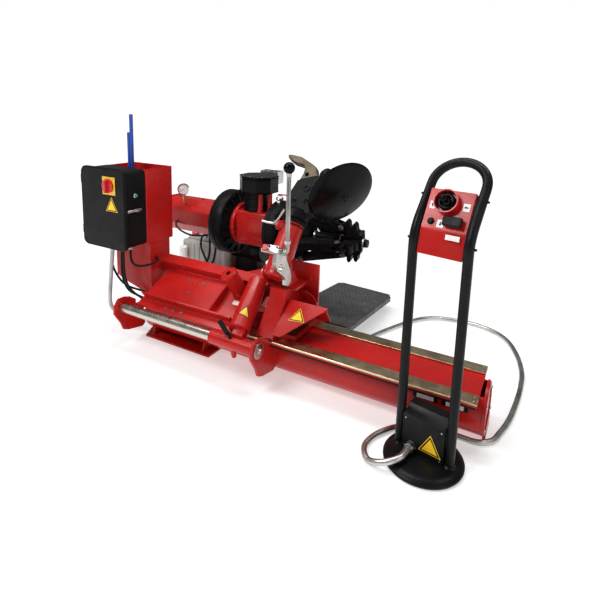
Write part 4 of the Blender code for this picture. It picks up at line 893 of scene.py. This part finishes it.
# ---------------------------------------------------------------- carriage, tool arm and head
def carriage_details():
    bolts = [bolt((x, -0.031, 0.5), (s, 0, 0), 0.013, 0.01) for x, s in ((0.7412, -1), (0.8728, 1))]
    bolts += [bolt((0.8722, y, z), (1, 0, 0), 0.0075, 0.006) for y, z in ((-0.02, 0.3), (0.06, 0.3))]
    put("pivot_bolts", bolts, "zinc", "carriage", MACHINE)
    seams = [weld([(0.873, y, z) for y, z in ((-0.155, 0.237), (-0.1, 0.3145), (-0.052, 0.381),
                                              (-0.04, 0.428))], 0.0026),
             weld([(0.8728, -0.099, 0.2455), (0.9595, -0.099, 0.2455)], 0.0028),
             weld([(0.873, 0.0942, 0.2455), (0.9375, 0.0942, 0.2455)], 0.0028),
             weld([(0.7852, -0.036, 0.4305), (0.7852, 0.05, 0.4325), (0.7852, 0.138, 0.4325)], 0.0026)]
    put("carriage_welds", seams, "paint_red", "carriage", MACHINE)
    patch = block((0.88, -0.098, 0.245), (0.955, 0.088, 0.2456), 0.0002, 1)
    put("carriage_wear", patch, "rust", "carriage", MACHINE)
    shim = block((0.79, -0.1572, 0.236), (0.868, -0.1585, 0.2222), 0.0003, 1)
    put("wiper_strip", shim, "rubber", "carriage", MACHINE)
    triangle("guard_sign", GUARD @ shift(0.957, 0.118, 0.0184) @ spin(6, "Z"), 0.082, "carriage")
    edge = sweep(smooth_route([(0.9205, 0.001, 0.0185), (0.995, 0.0895, 0.0185), (1.07, 0.1785, 0.0185)],
                              0.01), 0.0018, 10)
    put("guard_edge", edge, "paint_red", "carriage", GUARD)
    holes = [at(band(0.0055, 0.0105, -0.0006, 0.0006, 24), shift(0.73 + 0.029 * k, -0.0003, -0.0145)
                @ spin(90, "X")) for k in range(12)]
    put("ramp_side_rings", holes, "paint_black", "carriage", RAMP)
    studs, pitch = [], 0.0262
    for row in range(28):
        for col in range(14):
            x, y = 0.722 + pitch * (col + row % 2 / 2), 0.03 + pitch * row
            if x < 1.08 and y < 0.745 and x + y > 0.79 and x - y > -0.02:
                studs.append(lozenge(x, y, 45 if (row + col) % 2 else -45))
    put("ramp_tread", studs, "stud_grey", "carriage", RAMP, smooth=60)
    lip = sweep([(0.762, 0.0015, 0.0005), (1.073, 0.0015, 0.0005)], 0.0022, 10)
    put("ramp_lip", lip, "paint_black", "carriage", RAMP)


def lozenge(x, y, turn):
    """One raised stud of the ramp's tread."""
    shape = bmesh.new()
    low, high = ([shape.verts.new((a, b, z)) for a, b in ((-long, 0), (0, -wide), (long, 0), (0, wide))]
                 for long, wide, z in ((0.0105, 0.003, -0.0002), (0.007, 0.0016, 0.0014)))
    shape.faces.new(high)
    shape.faces.new(low[::-1])
    for k in range(4):
        j = (k + 1) % 4
        shape.faces.new([low[k], low[j], high[j], high[k]])
    return at(shape, shift(x, y, 0) @ spin(turn, "Z"))


def tool_details():
    collar = [turned([(0.0568, 0.262), (0.0605, 0.262), (0.0615, 0.264), (0.0615, 0.2825), (0.06, 0.2845),
                      (0.0568, 0.2845)], 72),
              turned([(0.0568, 0.245), (0.058, 0.245), (0.0585, 0.247), (0.0585, 0.252), (0.0568, 0.253)],
                     72)]
    put("arm_collar", collar, "cast_black", "tool_arm", LEAN, smooth=40)
    knuckle = block((0.009, -0.1708, 0.0495), (0.0678, -0.128, 0.0846), 0.003)
    put("knuckle_cover", knuckle, "zinc", "tool_arm", LEAN)
    screws = [screw((x, -0.171, z), (0, -1, 0)) for x in (0.018, 0.058) for z in (0.058, 0.076)]
    put("knuckle_screws", screws, "gloss_black", "tool_arm", LEAN)
    ring = weld([(0.0568 * math.cos(0.3 * k), 0.0568 * math.sin(0.3 * k), 0.006) for k in range(21)], 0.0028)
    put("arm_weld", ring, "paint_red", "tool_arm", LEAN)
    boss = turned([(0.0222, 0.06), (0.025, 0.06), (0.025, 0.072), (0.0222, 0.074)], 40)
    put("boss_ring", boss, "paint_red", "tool_arm", LEAN @ along((0, 0, 0.23), (-0.62, -0.785, 0)), smooth=40)
    put("lever_ball", ball((0.024, 0.02, 0.39), 0.0264, 40), "gloss_black", "lever", LEVER, smooth=80)
    nuts = [band(0.0107, 0.015, 0.352, 0.366, 6), band(0.0107, 0.0165, 0.045, 0.06, 6)]
    put("lever_nuts", nuts, "zinc", "lever", LEVER @ shift(0.024, 0.02, 0))
    heads = [bolt((x, 0.0322 * s, z), (0, s, 0), 0.011, 0.008) for s in (-1, 1)
             for x, z in ((-0.03, 0.1), (0.045, 0.105))]
    heads.append(bolt((-0.012, -0.0245, 0.262), (0, -1, 0), 0.008, 0.006))
    put("head_bolts", heads, "gloss_black", "head", HEAD)
    eye = turned([(0.01, 0), (0.02, 0), (0.02, 0.004), (0.018, 0.005), (0.01, 0.005)], 40)
    put("head_eye", eye, "cast_black", "head", HEAD @ shift(0.02, -0.032, 0.178) @ spin(90, "X"), smooth=40)
    dome = [(0, 0.036), (0.03, 0.0352), (0.06, 0.0318), (0.09, 0.0262), (0.12, 0.0188), (0.145, 0.0114),
            (0.162, 0.0058), (0.172, 0.0014), (0.1765, -0.0022), (0.177, -0.004), (0.1755, -0.0062),
            (0.172, -0.007), (0.14, 0.001), (0.09, 0.014), (0.045, 0.02), (0.04, 0.016), (0.04, -0.045),
            (0, -0.045)]
    put("bead_disc_look", turned(dome, 128), "gloss_black", "disc", DISC, "bead_disc", 60)
    cluster = [screw((x, y, 0.035), (0, 0, 1), 0.0052, 0.0035) for x, y in circle(6, 0, 0.021)]
    cluster.append(turned([(0, 0.034), (0.011, 0.034), (0.011, 0.0385), (0.009, 0.0395), (0, 0.0395)], 32))
    put("disc_bolts", cluster, "cast_black", "disc", DISC)


# ---------------------------------------------------------------- control stand
def face(u, f, out=0.0):
    """A place on the console's sloping face: u to the right, f up the slope, out away from it."""
    slope = math.atan2(0.135, 0.075)
    place = (u, 0.01 + f * math.cos(slope) - out * math.sin(slope), 0.885 + f * math.sin(slope)
             + out * math.cos(slope))
    return STAND @ shift(*place) @ spin(math.degrees(slope), "X")


def stand_details():
    base = [(0, 0), (0.14, 0), (0.147, 0.003), (0.1497, 0.008), (0.1497, 0.013), (0.147, 0.0165),
            (0.139, 0.0205), (0.13, 0.025), (0.122, 0.0268), (0.1, 0.0282), (0, 0.03)]
    put("stand_base_look", turned(base, 128), "paint_black", "base", STAND, "stand_base", 50)
    half, back, shoulder, bend = 0.1, 0.124, 1.034, 0.874  # half width, set-back and heights of the tube
    low, top = Vector((-half, 0.03, bend + 0.038)), Vector((-half, back, shoulder))
    up = [(-half, 0, 0.0304 + (bend - 0.0804) * k / 26) for k in range(27)]
    up += [(-half, 0.002, bend - 0.025), (-half, 0.011, bend + 0.004)] + [low.lerp(top, k / 5)
                                                                          for k in range(6)]
    lean = math.atan2(shoulder - bend, back)
    over = [(-a, back + b * math.cos(lean), shoulder + b * math.sin(lean))
            for a, b in circle(32, 0, half)[1:16]]
    route = up + over + [(-x, y, z) for x, y, z in reversed(up)]
    put("stand_frame_look", sweep(smooth_route(route, 0.012), 0.0175, 40), "paint_black", "base", STAND,
        "stand_frame", 60)
    foot = [(0.0178, 0.029), (0.0235, 0.029), (0.0205, 0.0325), (0.0178, 0.035)]
    feet = [at(turned(foot, 48), shift(x, 0, 0)) for x in (-half, half)]
    put("stand_foot_welds", feet, "paint_black", "base", STAND, smooth=50)
    stick = face(-0.009, 0.105)
    collar = turned([(0.0395, 0.0258), (0.0441, 0.0258), (0.0445, 0.0268), (0.0441, 0.028), (0.0395, 0.028)],
                    96)
    put("joystick_collar", collar, "paint_red", "base", stick, smooth=50)
    ring = turned([(0.022, 0.0004), (0.031, 0.0004), (0.031, 0.016), (0.03, 0.019), (0.0275, 0.0215),
                   (0.0245, 0.0222), (0.022, 0.0215)], 96)
    put("joystick_ring_look", ring, "gloss_black", "base", stick, "joystick_ring", 50)
    boot = turned([(0.0075, 0.008), (0.018, 0.008), (0.0182, 0.0095), (0.0168, 0.0105), (0.0165, 0.0125),
                   (0.0148, 0.0132), (0.0135, 0.0165), (0.0115, 0.017), (0.0095, 0.021), (0.0075, 0.0215)],
                  48)
    put("joystick_boot", boot, "rubber", "stick", stick, smooth=70)
    knob = [rod((0, 0, 0.0044), (0, 0, 0.044), 0.006, 32),
            turned([(0, 0.034), (0.009, 0.0345), (0.0135, 0.04), (0.0148, 0.048), (0.013, 0.056),
                    (0.008, 0.061), (0, 0.0624)], 48)]
    put("joystick_look", knob, "gloss_black", "stick", stick, "joystick", 60)
    rocker = block((-0.022, -0.012, 0.0001), (0.022, 0.012, 0.0011), 0.0003)
    put("rocker_plate", rocker, "gloss_black", "base", face(0.031, 0.035))
    bezel = turned([(0.0098, 0.0001), (0.013, 0.0001), (0.0126, 0.0026), (0.0114, 0.0034), (0.0098, 0.0034)],
                   48)
    put("button_bezel", bezel, "gloss_black", "base", face(-0.051, 0.03), smooth=50)
    studs = [rod((s * 0.115, y, z), (s * 0.1245, y, z), 0.0045, 20, 0.001) for s in (-1, 1)
             for y, z in ((0.004, 0.845), (0.093, 0.994))]
    put("console_studs", studs, "gloss_black", "base", STAND)
    for k, (u, f, w, h) in enumerate(((-0.061, 0.091, 0.02, 0.028), (0.06, 0.098, 0.024, 0.028),
                                      (-0.015, 0.026, 0.024, 0.028))):
        label(f"console_label_{k}", box(-w / 2, -h / 2, w, h), face(u, f, 0.0001), "base")
        arrow = [(-0.0022, -0.007), (0.0022, -0.007), (0.0022, 0.001), (0.0062, 0.001), (0, 0.0082),
                 (-0.0062, 0.001), (-0.0022, 0.001)]
        label(f"console_arrow_{k}", arrow, face(u, f, 0.0007) @ spin(90 * k, "Z"), "base", "print_black",
              0.0002)
    low = STAND @ shift(0.041, -0.0024, 0.871) @ spin(90 - 12.8, "X")
    label("console_label_low", box(-0.025, -0.009, 0.05, 0.018), low, "base")
    triangle("box_sign", STAND @ shift(0.03, -0.0201, 0.076) @ spin(90, "X"), 0.088, "base")
    corner = [screw((x, -0.0203, z), (0, -1, 0), 0.003, 0.0015, 20) for x in (-0.07, 0.07)
              for z in (0.042, 0.155)]
    put("box_screws", corner, "zinc", "base", STAND)
    gland = [band(0.0164, 0.02, 0, 0.009, 6),
             turned([(0.014, 0.012), (0.018, 0.012), (0.0175, 0.024), (0.014, 0.025)], 32)]
    put("box_gland", gland, "zinc", "base", STAND @ shift(-0.041, -0.0205, 0.052) @ spin(90, "X"), smooth=40)


# ---------------------------------------------------------------- whole machine
def polished():
    """Every CAD node that no detailed piece stands for, with its own edge width and material."""
    own = {"control_hose", "gear_housing", "gearbox", "spindle_bearing", "bead_disc", "stand_base",
           "stand_frame", "joystick_ring", "joystick"}
    widths = {"motor_cover": 0.006, "cabinet_body": 0.002, "cabinet_door": 0.002, "tool_head": 0.004,
              "mounting_hook": 0.005, "junction_box": 0.004, "oil_tank": 0.003, "arm_boom": 0.003,
              "chuck_body": 0.002, "lock_lever": 0.0022, "console": 0.0025, "tool_bin": 0.001,
              "isolator_knob": 0.002, "motor_box": 0.003, "lift_rod": 0.001, "push_button": 0.0008,
              "rocker_lever": 0.001, "valve_lever": 0.001, "head_lock_pin": 0.001, "front_rail": 0.0006,
              "rear_rail": 0.0006}
    looks = {"front_rail": "rail", "rear_rail": "rail", "pivot_bar": "steel", "lock_lever": "lever_steel"}
    for node in sorted(set(NODES) - own):
        width = 0.002 if node.startswith("jaw") else 0.0016
        polish(node, looks.get(node, SLOT_OF[node]), widths.get(node, width))


for build in (camera, studio, materials, control_hose, wires, polished, bed_details, cabinet_details,
              oil_unit_details, arm_details, drive_details, chuck_details, carriage_details, tool_details,
              stand_details):
    build()
